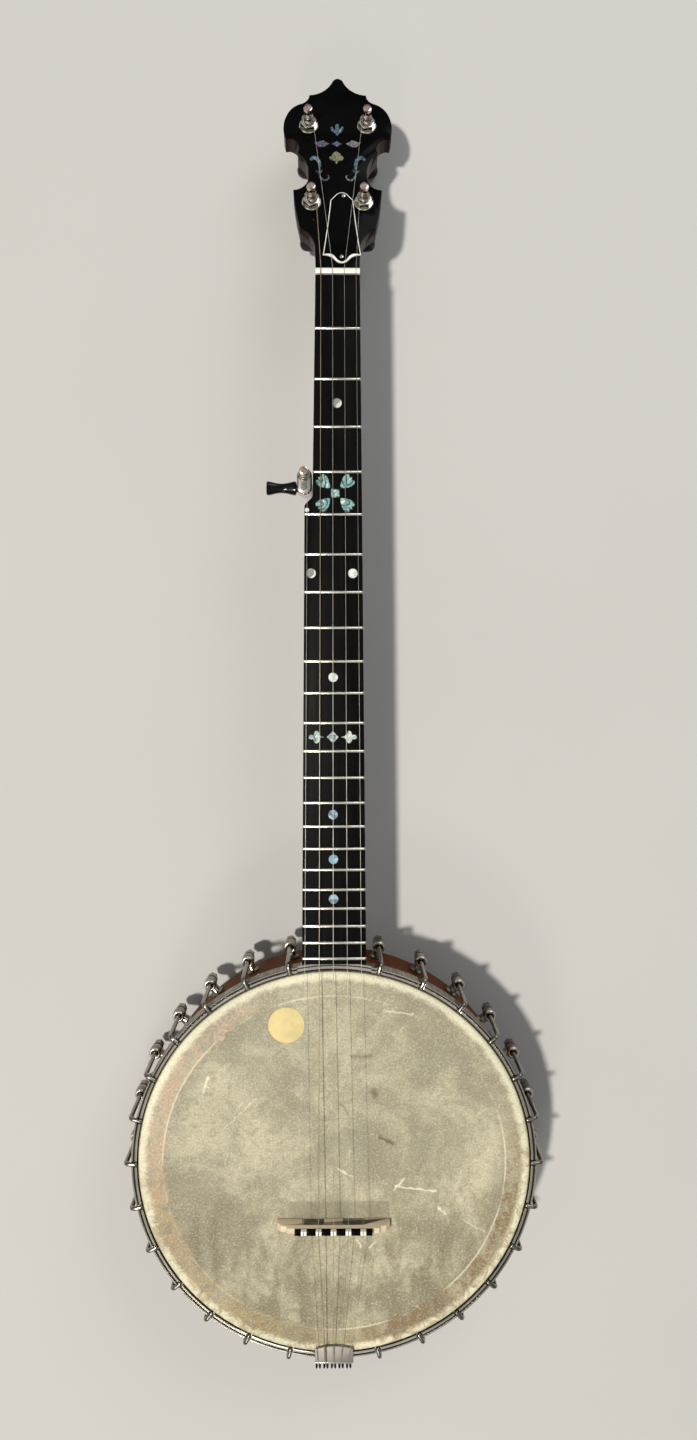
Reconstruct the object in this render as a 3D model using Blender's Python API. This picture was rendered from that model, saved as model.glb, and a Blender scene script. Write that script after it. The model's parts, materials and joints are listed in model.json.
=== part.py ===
"""Open-back five-string banjo in metres, +Z up, lying on its back.

The pieces are placed in the pot's frame: the origin is the middle of the head's playing surface, +Y runs
along the neck and +X points to the treble side. The fingerboard and the peghead have frames of their own,
turned back from it. At the end set_down lays the whole banjo on its back, on the tail edge of the rim and
on the tuning buttons, and centres its box on the origin.
"""

import math

import bmesh
import bpy
from mathutils import Matrix, Vector

# Clearance between two pieces that touch on the real banjo
GAP = 0.0003

# Pot: the rim, the tone ring on it and the calfskin head over both
RIM_RADIUS = 0.1397
RIM_WALL = 0.0127
POT_DEPTH = 0.070
RIM_ROUND = 0.002
RING_STEPS = 56
TONE_RING_WALL = 0.001
TONE_RING_BEAD = 0.0025
TONE_RING_WIDTH = 0.005
TONE_RING_SEAT = 0.006
TONE_RING_SKIRT = 0.024
HEAD_THICKNESS = 0.0006
FLESH_HOOP_SIZE = 0.003

# Tension hoop, with its low stretch at the neck and a notch for each hook
HOOP_CLEARANCE = 0.0006
HOOP_WALL = 0.004
HOOP_HEIGHT = 0.012
HOOP_DROP = 0.001
HOOP_EDGE = 0.0007
HOOP_NECK_HALF_WIDTH = 0.0262
HOOP_NECK_DEPTH = 0.003
HOOK_NOTCH_DEPTH = 0.0022

# Bracket hooks, their nuts and their shoes
BRACKET_PLACES = 28
BRACKETS_PER_SIDE = 13
HOOK_RADIUS = 0.0016
HOOK_STANDOFF = 0.0024
HOOK_BEND = 0.0032
HOOK_TIP_REACH = 0.0004
HOOK_TIP_TAPER = 0.001
HOOK_SIDES = 6
SHOE_TOP = 0.044
SHOE_HEIGHT = 0.013
SHOE_NOSE = 0.0047
SHOE_EDGE = 0.0011
SHOE_SINK = 0.0015
SHOE_NOSE_STEPS = 4
HOOK_NUT_RADIUS = 0.004
HOOK_NUT_LENGTH = 0.009
HOOK_NUT_DOME = 0.0015

# Strings and frets
SCALE_LENGTH = 0.66675
COMPENSATION = 0.005
FRETS = 22
FIFTH_STRING_FRET = 5
FRET_WIDTH = 0.0022
FRET_HEIGHT = 0.0011
STRING_RADII = (0.00013, 0.00016, 0.0002, 0.00028, 0.00013)
STRING_TURNS = 3
STRING_PITCH = 0.0011
POINTS_PER_TURN = 8
NUT_STRING_SPACING = 0.0082
NUT_STRING_MIDDLE = 0.0026
NUT_STRING_HEIGHT = 0.0016
BRIDGE_STRING_SPACING = 0.0105
TAIL_STRING_SPACING = 0.0055

# Fingerboard, in the neck's frame: its top is the plane z = 0, and y = 0 is its end at the hoop
NECK_ANGLE = math.radians(3.0)
BOARD_RISE = 0.0015
BOARD_THICKNESS = 0.0055
BOARD_PAST_LAST_FRET = 0.0042
TREBLE_EDGE_AT_END = 0.0225
BASS_EDGE_AT_END = -0.02285
BASS_EDGE_BELOW_STEP = -0.0212
BASS_EDGE_ABOVE_STEP = -0.0157
STEP_LOW = 0.0057
STEP_HIGH = 0.0134
NUT_WIDTH = 0.0312
NUT_MIDDLE = 0.0020
NUT_THICKNESS = 0.0042
NUT_RISE = 0.0022
NUT_BACK_SLOPE = 0.0012
SLOT_WIDTH = 0.0012
PIP_RADIUS = 0.0015
PIP_RISE = 0.0012
PIP_DEPTH = 0.0035
PIP_PAST_FRET = 0.003
PIP_INSET = 0.0019

# Neck wood under the fingerboard
SHAFT_DEPTH_AT_NUT = 0.0145
SHAFT_DEPTH_AT_HEEL = 0.0185
HEEL_DEPTH = 0.058
HEEL_LENGTH = 0.062
HEEL_TRIM = 0.004
HEEL_BOTTOM_SHARPNESS = 1.35
SHAFT_SIDE = 0.0015
NECK_SECTION_POINTS = 13

# Peghead: its own frame lies on the face of the overlay, with y along the peghead
PEGHEAD_ANGLE = math.radians(14.5)
PEGHEAD_ABOVE_WOOD = 0.0019
PEGHEAD_THICKNESS = 0.015
OVERLAY_THICKNESS = 0.0018
ARC_STEPS = 5

# Truss rod, its channel and its cover
TRUSS_ROD_RADIUS = 0.003
TRUSS_NUT_RADIUS = 0.004
TRUSS_NUT_LENGTH = 0.012
TRUSS_ROD_START = 0.030
TRUSS_ROD_PAST_NUT = 0.0165
TRUSS_POCKET_LENGTH = 0.012
TRUSS_CHANNEL_WALL = 0.002
COVER_THICKNESS = 0.0022
COVER_EDGE = 0.0009

# Geared tuning pegs: places along the peghead and out from its middle
UPPER_PEG = (0.1188, 0.0211)
LOWER_PEG = (0.0543, 0.0186)
PEG_HOLE_RADIUS = 0.0050
PEG_SIDES = 12
POST_RADIUS = 0.0030
POST_WAIST = 0.0025
POST_HEIGHT = 0.0175
POST_CAP_LENGTH = 0.0050
POST_WAIST_LENGTH = 0.0058
POST_SLOPE = 0.0008
POST_EDGE = 0.0005
POST_DEPTH_IN_BUSHING = 0.012
WINDING_HEIGHT = 0.0085
WASHER_RADIUS = 0.0070
WASHER_THICKNESS = 0.0008
HEX_NUT_RADIUS = 0.0066
HEX_NUT_HEIGHT = 0.0034
COLLAR_RISE = 0.0012
COLLAR_WALL = 0.0011
COLLAR_FOOT_WALL = 0.0016
CASE_RADIUS = 0.0078
CASE_LENGTH = 0.021
BUTTON_SHAFT_RADIUS = 0.0027
BUTTON_SHAFT_DEPTH = 0.008
BUTTON_NECK_RADIUS = 0.0036
BUTTON_WIDTH = 0.0195
BUTTON_LENGTH = 0.0155
BUTTON_THICKNESS = 0.0080

# Fifth-string peg: a worm-geared case beside the neck, above the step
FIFTH_CASE_WIDTH = 0.0107
FIFTH_CASE_LENGTH = 0.0188
FIFTH_CASE_LOWER_EDGE = 0.0008
FIFTH_CASE_UPPER_EDGE = 0.0016
FIFTH_CASE_ABOVE_STEP = 0.0006
FIFTH_CASE_TOP = -0.0010
FIFTH_WORM_OFFSET = 0.0088
FIFTH_POST_HEIGHT = 0.0135
FIFTH_STUB_RADIUS = 0.0035
FIFTH_STUB_LENGTH = 0.009
KNOB_COLLAR_LENGTH = 0.0012
KNOB_LENGTH = 0.0210
KNOB_WIDTH = 0.0100
KNOB_WAIST = 0.0062
KNOB_HEIGHT = 0.0135

# Bridge: three feet, a wide body and a narrow top
BRIDGE_HEIGHT = 0.016
BRIDGE_HALF_WIDTH = 0.0402
BRIDGE_TOP_HALF_WIDTH = 0.0275
BRIDGE_SHOULDER = 0.0335
BRIDGE_MIDDLE = -0.0005
BRIDGE_FOOT_THICKNESS = 0.0068
BRIDGE_TOP_THICKNESS = 0.0030
BRIDGE_ARCH_HEIGHT = 0.0055
BRIDGE_ARCH_SLOPE = 0.0008
BRIDGE_END_CHAMFER = 0.0028
BRIDGE_TOP_STEP = 0.0006
BRIDGE_MIDDLE_FOOT_HALF = 0.0068
BRIDGE_OUTER_FOOT_START = 0.0222
BRIDGE_SLOT_DEPTH = 0.0008

# Tailpiece: a bent plate with string teeth and a strap down to the tail bolt
TAIL_WIDTH = 0.0276
TAIL_FRONT = 0.0118
TAIL_FRONT_ARCH = 0.0022
TAIL_SHEET = 0.0016
TAIL_RISE = 0.0032
TAIL_LIP = 0.0045
TAIL_STRAP_WIDTH = 0.011
TAIL_STRAP_PAST_BOLT = 0.008
STRING_END_PAST_PLATE = 0.0018
STRING_END_DROP = 0.0015
TOOTH_LENGTH = 0.0050
TOOTH_WIDTH = 0.0012
TOOTH_PAIR_GAP = 0.0024
TOOTH_DROOP = 0.0012

# Coordinator rod from the heel to the tail, with a bolt through the rim at each end
COORDINATOR_RADIUS = 0.0048
COORDINATOR_BOLT_RADIUS = 0.0035
COORDINATOR_DEPTH = 0.046
COORDINATOR_IN_HEEL = 0.016
COORDINATOR_NUT_RADIUS = 0.0078
COORDINATOR_NUT_LENGTH = 0.006
ACORN_LENGTH = 0.007

# What follows from the sizes above
HEAD_INNER = RIM_RADIUS + GAP
HEAD_OUTER = HEAD_INNER + HEAD_THICKNESS
HOOP_INNER = HEAD_OUTER + HOOP_CLEARANCE
HOOP_OUTER = HOOP_INNER + HOOP_WALL
HOOP_BOTTOM = -HOOP_DROP - HOOP_HEIGHT
FLESH_HOOP_OUTER = HEAD_INNER + FLESH_HOOP_SIZE
FLESH_HOOP_BOTTOM = HOOP_BOTTOM - GAP - FLESH_HOOP_SIZE
HOOK_CIRCLE = HOOP_OUTER + HOOK_STANDOFF + HOOK_RADIUS
HOOK_BAR_HEIGHT = -HOOP_DROP - HOOK_NOTCH_DEPTH + GAP + HOOK_RADIUS
BOARD_START = HOOP_OUTER + 0.0005


def fret_distance(number):
    """How far a fret lies from the nut along the scale."""
    return SCALE_LENGTH * (1 - 2 ** (-number / 12))


NUT_Y = fret_distance(FRETS) + BOARD_PAST_LAST_FRET
STEP_FRET_Y = NUT_Y - fret_distance(FIFTH_STRING_FRET)
NECK_FRAME = Matrix.Translation((0, BOARD_START, BOARD_RISE)) @ Matrix.Rotation(-NECK_ANGLE, 4, "X")
PEGHEAD_DROP = BOARD_THICKNESS - PEGHEAD_ABOVE_WOOD
PEGHEAD_Y = NUT_Y + NUT_THICKNESS + 2 * GAP + OVERLAY_THICKNESS * math.sin(PEGHEAD_ANGLE)
PEGHEAD_FRAME = (
    NECK_FRAME
    @ Matrix.Translation((NUT_MIDDLE, PEGHEAD_Y, -PEGHEAD_DROP))
    @ Matrix.Rotation(-PEGHEAD_ANGLE, 4, "X")
)
BRIDGE_Y = (NECK_FRAME @ Vector((0, NUT_Y, 0))).y - SCALE_LENGTH - COMPENSATION
CORE_TOP = -OVERLAY_THICKNESS - GAP
CORE_BOTTOM = -PEGHEAD_THICKNESS
FIFTH_CASE_HEIGHT = BOARD_THICKNESS + FIFTH_CASE_TOP + 2 * FIFTH_STUB_RADIUS
WOOD_TOP = -BOARD_THICKNESS - GAP


# Shared shape helpers


def clear_scene():
    for obj in list(bpy.data.objects):
        bpy.data.objects.remove(obj, do_unlink=True)


def material(name, colour, roughness, metallic=0.0):
    made = bpy.data.materials.new(name)
    made.use_nodes = True
    shader = made.node_tree.nodes["Principled BSDF"]
    shader.inputs["Base Color"].default_value = (*colour, 1.0)
    shader.inputs["Roughness"].default_value = roughness
    shader.inputs["Metallic"].default_value = metallic
    return made


def add_object(name, shape, finish, frame=None):
    """A named piece made from a bmesh, placed by its frame under the banjo's empty."""
    bmesh.ops.recalc_face_normals(shape, faces=shape.faces)
    mesh = bpy.data.meshes.new(name)
    shape.to_mesh(mesh)
    shape.free()
    mesh.materials.append(finish)
    mesh.shade_smooth()
    mesh.set_sharp_from_angle(angle=math.radians(35))
    obj = bpy.data.objects.new(name, mesh)
    bpy.context.scene.collection.objects.link(obj)
    obj.parent = BANJO
    if frame is not None:
        obj.matrix_local = frame
    return obj


def add_helper(name, shape, frame=None):
    """A shape that only cuts or joins another one."""
    obj = add_object(name, shape, FINISHES["nickel"], frame)
    obj.hide_render = True
    obj.display_type = "WIRE"
    return obj


def combine(obj, helper, operation):
    boolean = obj.modifiers.new(helper.name, "BOOLEAN")
    boolean.operation = operation
    boolean.solver = "EXACT"
    boolean.object = helper


def cut(obj, name, shape, frame=None):
    combine(obj, add_helper(name, shape, frame), "DIFFERENCE")


def join(obj, name, shape, frame=None):
    combine(obj, add_helper(name, shape, frame), "UNION")


def turned(profile, steps):
    """An (r, z) profile turned about Z. A profile that starts and ends on the axis stays open."""
    shape = bmesh.new()
    verts = [shape.verts.new((r, 0, z)) for r, z in profile]
    ends = list(zip(verts, verts[1:]))
    if profile[0][0] > 0:
        ends.append((verts[-1], verts[0]))
    edges = [shape.edges.new(pair) for pair in ends]
    whole = 2 * math.pi
    bmesh.ops.spin(
        shape, geom=verts + edges, axis=(0, 0, 1), cent=(0, 0, 0), angle=whole, steps=steps, use_merge=True
    )
    bmesh.ops.remove_doubles(shape, verts=shape.verts, dist=1e-6)
    return shape


def arc(centre, radius, start, end, steps):
    """Points on a circle from one angle in degrees to another."""
    angles = [math.radians(start + (end - start) * i / steps) for i in range(steps + 1)]
    return [(centre[0] + radius * math.cos(a), centre[1] + radius * math.sin(a)) for a in angles]


def between(low, high, share):
    return low + (high - low) * share


def arc_through(first, middle, last, steps=ARC_STEPS):
    """Points on the circle through three points, without the last one."""
    (ax, ay), (bx, by), (cx, cy) = first, middle, last
    d = 2 * (ax * (by - cy) + bx * (cy - ay) + cx * (ay - by))
    ux = ((ax**2 + ay**2) * (by - cy) + (bx**2 + by**2) * (cy - ay) + (cx**2 + cy**2) * (ay - by)) / d
    uy = ((ax**2 + ay**2) * (cx - bx) + (bx**2 + by**2) * (ax - cx) + (cx**2 + cy**2) * (bx - ax)) / d
    a0, a1, a2 = (math.atan2(y - uy, x - ux) for x, y in (first, middle, last))
    turn = (a2 - a0) % (2 * math.pi)
    if (a1 - a0) % (2 * math.pi) > turn:
        turn -= 2 * math.pi
    radius = math.hypot(ax - ux, ay - uy)
    return [
        (ux + radius * math.cos(a0 + turn * i / steps), uy + radius * math.sin(a0 + turn * i / steps))
        for i in range(steps)
    ]


def prism(outline, bottom, top, shape=None):
    """A flat outline in x and y, extruded from one height to another."""
    shape = shape or bmesh.new()
    face = shape.faces.new([shape.verts.new((x, y, bottom)) for x, y in outline])
    grown = bmesh.ops.extrude_face_region(shape, geom=[face])
    risen = [item for item in grown["geom"] if isinstance(item, bmesh.types.BMVert)]
    bmesh.ops.translate(shape, verts=risen, vec=(0, 0, top - bottom))
    return shape


def box(x0, x1, y0, y1, z0, z1, shape=None):
    return prism([(x0, y0), (x1, y0), (x1, y1), (x0, y1)], z0, z1, shape)


def rod(radius, bottom, top, sides, place=(0, 0), shape=None):
    outline = arc(place, radius, 0, 360, sides)[:-1]
    return prism(outline, bottom, top, shape)


def lofted(sections):
    """A skin bridged over a row of closed sections with as many points each, and capped at both ends."""
    shape = bmesh.new()
    rings = [[shape.verts.new(point) for point in section] for section in sections]
    for one, other in zip(rings, rings[1:]):
        for i in range(len(one)):
            j = (i + 1) % len(one)
            shape.faces.new((one[i], one[j], other[j], other[i]))
    shape.faces.new(list(reversed(rings[0])))
    shape.faces.new(rings[-1])
    return shape


def turn_to_y(shape):
    """Turns a shape made along Z so that it lies along Y."""
    turn = Matrix.Rotation(math.radians(-90), 3, "X")
    bmesh.ops.rotate(shape, verts=shape.verts, cent=(0, 0, 0), matrix=turn)
    return shape


def bracket_angles():
    """The places of the hooks and shoes, in radians from +Y."""
    step = 2 * math.pi / BRACKET_PLACES
    return [side * k * step for k in range(1, BRACKETS_PER_SIDE + 1) for side in (-1, 1)]


def bracket_frame(angle):
    """The frame of a bracket place: local +Y points out from the pot."""
    return Matrix.Rotation(-angle, 4, "Z")


# Pot


def add_rim():
    bottom, top = -POT_DEPTH, -TONE_RING_SEAT - GAP
    inner, rebate = RIM_RADIUS - RIM_WALL, RIM_RADIUS - TONE_RING_WALL - GAP
    low = bottom + RIM_ROUND
    profile = arc((inner + RIM_ROUND, low), RIM_ROUND, 180, 270, 2)
    profile += arc((RIM_RADIUS - RIM_ROUND, low), RIM_ROUND, 270, 360, 2)
    shelf = -TONE_RING_SKIRT - GAP
    profile += [(RIM_RADIUS, shelf), (rebate, shelf), (rebate, top), (inner, top)]
    rim = add_object("rim", turned(profile, RING_STEPS), FINISHES["rim_wood"])
    join(rim, "bracket_shoes", bracket_shoes())
    cut(rim, "shoe_bores", shoe_bores())
    bolt = COORDINATOR_BOLT_RADIUS + GAP
    reach = RIM_RADIUS + RIM_WALL
    bores = turn_to_y(rod(bolt, -reach, reach, 10))
    cut(rim, "coordinator_bores", bores, Matrix.Translation((0, 0, -COORDINATOR_DEPTH)))


def bracket_shoes():
    """Each shoe is a rounded lug whose nose is round about the hook's rod."""
    shapes = bmesh.new()
    root = RIM_RADIUS - SHOE_SINK
    for angle in bracket_angles():
        sections, low = [], -SHOE_HEIGHT
        for inset, height in ((SHOE_EDGE, 0), (0, -SHOE_EDGE), (0, low + SHOE_EDGE), (SHOE_EDGE, low)):
            nose = SHOE_NOSE - inset
            rounding = arc((0, HOOK_CIRCLE), nose, 0, 180, SHOE_NOSE_STEPS)
            outline = [(nose, root)] + rounding + [(-nose, root)]
            frame = bracket_frame(angle)
            sections.append([frame @ Vector((x, y, -SHOE_TOP + height)) for x, y in outline])
        lug = lofted(sections)
        mesh = bpy.data.meshes.new("lug")
        lug.to_mesh(mesh)
        lug.free()
        shapes.from_mesh(mesh)
        bpy.data.meshes.remove(mesh)
    return shapes


def shoe_bores():
    shape = bmesh.new()
    margin = 0.002
    for angle in bracket_angles():
        centre = bracket_frame(angle) @ Vector((0, HOOK_CIRCLE, 0))
        bottom, top = -SHOE_TOP - SHOE_HEIGHT - margin, -SHOE_TOP + margin
        rod(HOOK_RADIUS + GAP * 1.3, bottom, top, HOOK_SIDES, (centre.x, centre.y), shape)
    return shape


def add_tone_ring():
    outer, inner = RIM_RADIUS, RIM_RADIUS - TONE_RING_WIDTH
    top = -HEAD_THICKNESS - GAP
    bead = (outer - TONE_RING_BEAD, top - TONE_RING_BEAD)
    wall = outer - TONE_RING_WALL
    profile = [(wall, -TONE_RING_SKIRT), (outer, -TONE_RING_SKIRT)]
    profile += arc(bead, TONE_RING_BEAD, 0, 180, 5)
    profile += [(inner, -TONE_RING_SEAT), (wall, -TONE_RING_SEAT)]
    add_object("tone_ring", turned(profile, RING_STEPS), FINISHES["nickel"])


def add_head():
    """The skin over the tone ring's bead, with the flesh hoop rolled into its edge."""
    bead_top = -HEAD_THICKNESS - GAP
    centre = (RIM_RADIUS - TONE_RING_BEAD, bead_top - TONE_RING_BEAD)
    over, under = TONE_RING_BEAD + GAP + HEAD_THICKNESS, TONE_RING_BEAD + GAP
    roll = HOOP_BOTTOM - GAP
    profile = [(0, -HEAD_THICKNESS)]
    profile += [*reversed(arc(centre, under, 0, 90, 3))]
    profile += [(HEAD_INNER, FLESH_HOOP_BOTTOM), (FLESH_HOOP_OUTER, FLESH_HOOP_BOTTOM)]
    profile += [(FLESH_HOOP_OUTER, roll), (HEAD_OUTER, roll)]
    profile += [*arc(centre, over, 0, 90, 3), (0, 0)]
    add_object("head", turned(profile, RING_STEPS), FINISHES["skin"])


def add_tension_hoop():
    top = -HOOP_DROP
    profile = [(HOOP_INNER, HOOP_BOTTOM), (HOOP_OUTER, HOOP_BOTTOM), (HOOP_OUTER, top - HOOP_EDGE)]
    profile += [(HOOP_OUTER - HOOP_EDGE, top), (HOOP_INNER, top)]
    hoop = add_object("tension_hoop", turned(profile, RING_STEPS), FINISHES["nickel"])
    cut(hoop, "hook_notches", hook_notches())
    low = top - HOOP_NECK_DEPTH
    half, far = HOOP_NECK_HALF_WIDTH, HOOP_OUTER + HOOP_WALL
    cut(hoop, "neck_notch", box(-half, half, HOOP_INNER - HOOP_WALL * 2, far, low, -low))


def hook_notches():
    shape = bmesh.new()
    half = HOOK_RADIUS + 2 * GAP
    near, far = HOOP_INNER - HOOP_WALL, HOOP_OUTER + HOOP_WALL
    bottom, top = -HOOP_DROP - HOOK_NOTCH_DEPTH, HOOP_WALL
    for angle in bracket_angles():
        frame = bracket_frame(angle)
        outline = ((-half, near), (half, near), (half, far), (-half, far))
        corners = [frame @ Vector((x, y, 0)) for x, y in outline]
        prism([(corner.x, corner.y) for corner in corners], bottom, top, shape)
    return shape


def hook_shape():
    """A bent rod with its nut: rings of points swept down the rod, in the plane of local Y and Z."""
    bend = (HOOK_CIRCLE - HOOK_BEND, HOOK_BAR_HEIGHT - HOOK_BEND)
    tip = HOOP_INNER - HOOK_TIP_REACH
    nut_top = -SHOE_TOP - SHOE_HEIGHT - GAP
    nut_bottom = nut_top - HOOK_NUT_LENGTH
    full = tip + HOOK_TIP_TAPER
    path = [((tip, HOOK_BAR_HEIGHT), 180, HOOK_RADIUS * 0.8), ((full, HOOK_BAR_HEIGHT), 180, HOOK_RADIUS)]
    path += [(arc(bend, HOOK_BEND, a, a, 1)[0], a + 90, HOOK_RADIUS) for a in (90, 60, 30, 0)]
    path += [((HOOK_CIRCLE, nut_top), 90, HOOK_RADIUS), ((HOOK_CIRCLE, nut_top), 90, HOOK_NUT_RADIUS)]
    path += [((HOOK_CIRCLE, nut_bottom + HOOK_NUT_DOME), 90, HOOK_NUT_RADIUS)]
    path += [((HOOK_CIRCLE, nut_bottom), 90, HOOK_NUT_RADIUS * 0.6)]
    sections = []
    for (y, z), heading, radius in path:
        side = Vector((0, -math.sin(math.radians(heading)), math.cos(math.radians(heading))))
        ring = [(radius * math.cos(a), radius * math.sin(a)) for a in ring_angles(HOOK_SIDES)]
        sections.append([Vector((across, y, z)) + side * along for across, along in ring])
    return lofted(sections)


def ring_angles(sides):
    return [2 * math.pi * (i + 0.5) / sides for i in range(sides)]


def add_hooks():
    first = None
    for number, angle in enumerate(bracket_angles(), start=1):
        name = f"hook_{number:02d}"
        if first is None:
            first = add_object(name, hook_shape(), FINISHES["nickel"], bracket_frame(angle))
            continue
        hook = bpy.data.objects.new(name, first.data)
        bpy.context.scene.collection.objects.link(hook)
        hook.parent = BANJO
        hook.matrix_local = bracket_frame(angle)


def add_coordinator_rod():
    """The rod, its nuts on the rim's inner wall, its bolts through the rim and the acorn nut outside."""
    bolt, nut, thick = COORDINATOR_BOLT_RADIUS, COORDINATOR_NUT_RADIUS, COORDINATOR_NUT_LENGTH
    inner = math.sqrt((RIM_RADIUS - RIM_WALL) ** 2 - nut**2) * math.cos(math.pi / RING_STEPS) - GAP
    outer = RIM_RADIUS + 2 * GAP + TAIL_SHEET + GAP
    heel_end = RIM_RADIUS + COORDINATOR_IN_HEEL
    profile = [(0, heel_end), (bolt, heel_end), (bolt, inner), (nut, inner), (nut, inner - thick)]
    profile += [(COORDINATOR_RADIUS, inner - thick), (COORDINATOR_RADIUS, -inner + thick)]
    profile += [(nut, -inner + thick), (nut, -inner), (bolt, -inner), (bolt, -outer), (nut * 0.8, -outer)]
    tip = -outer - ACORN_LENGTH
    profile += [(nut * 0.8, between(-outer, tip, 0.6)), (nut * 0.4, tip), (0, tip)]
    place = Matrix.Translation((0, 0, -COORDINATOR_DEPTH))
    add_object("coordinator_rod", turn_to_y(turned(profile, 10)), FINISHES["nickel"], place)


# Neck


def treble_edge(y):
    return between(TREBLE_EDGE_AT_END, NUT_MIDDLE + NUT_WIDTH / 2, y / NUT_Y)


def bass_edge(y):
    """The bass side of the neck, which steps in for four strings above the fifth string's nut."""
    low, high = STEP_FRET_Y + STEP_LOW, STEP_FRET_Y + STEP_HIGH
    wide = between(BASS_EDGE_AT_END, BASS_EDGE_BELOW_STEP, y / STEP_FRET_Y)
    above = (y - STEP_FRET_Y) / (NUT_Y - STEP_FRET_Y)
    narrow = between(BASS_EDGE_ABOVE_STEP, NUT_MIDDLE - NUT_WIDTH / 2, above)
    share = min(max((y - low) / (high - low), 0), 1)
    return between(wide, narrow, (1 - math.cos(math.pi * share)) / 2)


def step_stations():
    low, high = STEP_FRET_Y + STEP_LOW, STEP_FRET_Y + STEP_HIGH
    return [between(low, high, share) for share in (0, 0.2, 0.4, 0.6, 0.8, 1)]


def side_prism(outline, left, right, shape=None):
    """An outline in y and z, extruded across x."""
    made = prism(outline, left, right, shape)
    turn = Matrix(((0, 0, 1), (1, 0, 0), (0, 1, 0)))
    bmesh.ops.rotate(made, verts=made.verts, cent=(0, 0, 0), matrix=turn)
    return made


def add_fingerboard():
    """The board's long section with its frets, extruded across and cut to the neck's outline."""
    section = [(NUT_Y, -BOARD_THICKNESS), (0, -BOARD_THICKNESS), (0, 0)]
    for number in range(FRETS, 0, -1):
        y = NUT_Y - fret_distance(number)
        half = FRET_WIDTH / 2
        section += [(y - half, 0), (y - half * 0.55, FRET_HEIGHT * 0.8), (y, FRET_HEIGHT)]
        section += [(y + half * 0.55, FRET_HEIGHT * 0.8), (y + half, 0)]
    section.append((NUT_Y, 0))
    reach = 2 * TREBLE_EDGE_AT_END
    board = add_object("fingerboard", side_prism(section, -reach, reach), FINISHES["ebony"], NECK_FRAME)
    outline = [(treble_edge(y), y) for y in (0, NUT_Y)]
    outline += [(bass_edge(y), y) for y in [NUT_Y, *reversed(step_stations()), 0]]
    over = BOARD_THICKNESS * 2
    combine(board, add_helper("board_outline", prism(outline, -over, over), NECK_FRAME), "INTERSECT")
    x, y = pip_place()
    cut(board, "pip_hole", rod(PIP_RADIUS + GAP, -PIP_DEPTH - GAP, over, 8, (x, y)), NECK_FRAME)


def pip_place():
    y = STEP_FRET_Y + PIP_PAST_FRET
    return bass_edge(y) + PIP_INSET, y


def add_nuts():
    start = NUT_Y + GAP
    section = [(start, WOOD_TOP + GAP), (start, NUT_RISE), (start + NUT_THICKNESS * 0.55, NUT_RISE)]
    section += [(start + NUT_THICKNESS, NUT_RISE - NUT_BACK_SLOPE), (start + NUT_THICKNESS, WOOD_TOP + GAP)]
    left, right = NUT_MIDDLE - NUT_WIDTH / 2, NUT_MIDDLE + NUT_WIDTH / 2
    nut = add_object("nut", side_prism(section, left, right), FINISHES["bone"], NECK_FRAME)
    slots = bmesh.new()
    for number in range(4):
        x, radius = nut_string_x(number), STRING_RADII[number]
        floor = NUT_STRING_HEIGHT - radius - GAP
        half = SLOT_WIDTH / 2
        box(x - half, x + half, start - GAP, start + 2 * NUT_THICKNESS, floor, 2 * NUT_RISE, slots)
    cut(nut, "nut_slots", slots, NECK_FRAME)
    x, y = pip_place()
    pip = rod(PIP_RADIUS, -PIP_DEPTH, PIP_RISE, 8, (x, y))
    add_object("fifth_string_nut", pip, FINISHES["bone"], NECK_FRAME)


def shaft_depth(y):
    share = min(max(y / HEEL_LENGTH, 0), 1)
    shaft = between(SHAFT_DEPTH_AT_HEEL, SHAFT_DEPTH_AT_NUT, max(y, 0) / NUT_Y)
    return between(HEEL_DEPTH, shaft, 1 - (1 - share) ** 2.4)


def neck_section(frame, y, left, right, top, depth, sharpness=1.0):
    """A flat top and a rounded back. More sharpness draws the back in to a narrow ridge, as on a heel."""
    middle, half = (left + right) / 2, (right - left) / 2
    points = [Vector((left, y, top)), Vector((right, y, top))]
    for i in range(NECK_SECTION_POINTS):
        a = math.pi * i / (NECK_SECTION_POINTS - 1)
        across = math.copysign(abs(math.cos(a)) ** sharpness, math.cos(a))
        z = top - SHAFT_SIDE - (depth - SHAFT_SIDE) * math.sin(a)
        points.append(Vector((middle + half * across, y, z)))
    return [frame @ point for point in points]


def neck_shape():
    rim_edge = RIM_RADIUS * math.cos(math.asin(abs(BASS_EDGE_AT_END) / RIM_RADIUS))
    heel_start = rim_edge - BOARD_START - HEEL_TRIM
    stations = [heel_start] + [HEEL_LENGTH * share for share in (0.05, 0.12, 0.2, 0.3, 0.42, 0.56, 0.75, 1)]
    stations += [between(HEEL_LENGTH, STEP_FRET_Y, share) for share in (0.33, 0.66, 1)] + step_stations()
    stations += [between(STEP_FRET_Y + STEP_HIGH, NUT_Y, 0.5), NUT_Y, NUT_Y + NUT_THICKNESS + GAP]
    sections = []
    for y in stations:
        along = min(max(y, 0), NUT_Y)
        sharpness = between(HEEL_BOTTOM_SHARPNESS, 1, min(max(y / HEEL_LENGTH, 0), 1))
        edges = bass_edge(along), treble_edge(along)
        sections.append(neck_section(NECK_FRAME, y, *edges, WOOD_TOP, shaft_depth(along), sharpness))
    for y, share, inset in ((0.012, 0.94, 0.0004), (0.040, 0.75, 0.0015)):
        half = NUT_WIDTH / 2 * share
        top, depth = CORE_TOP - inset, PEGHEAD_THICKNESS + CORE_TOP - 2 * inset
        sections.append(neck_section(PEGHEAD_FRAME, y, -half, half, top, depth))
    return lofted(sections)


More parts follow.
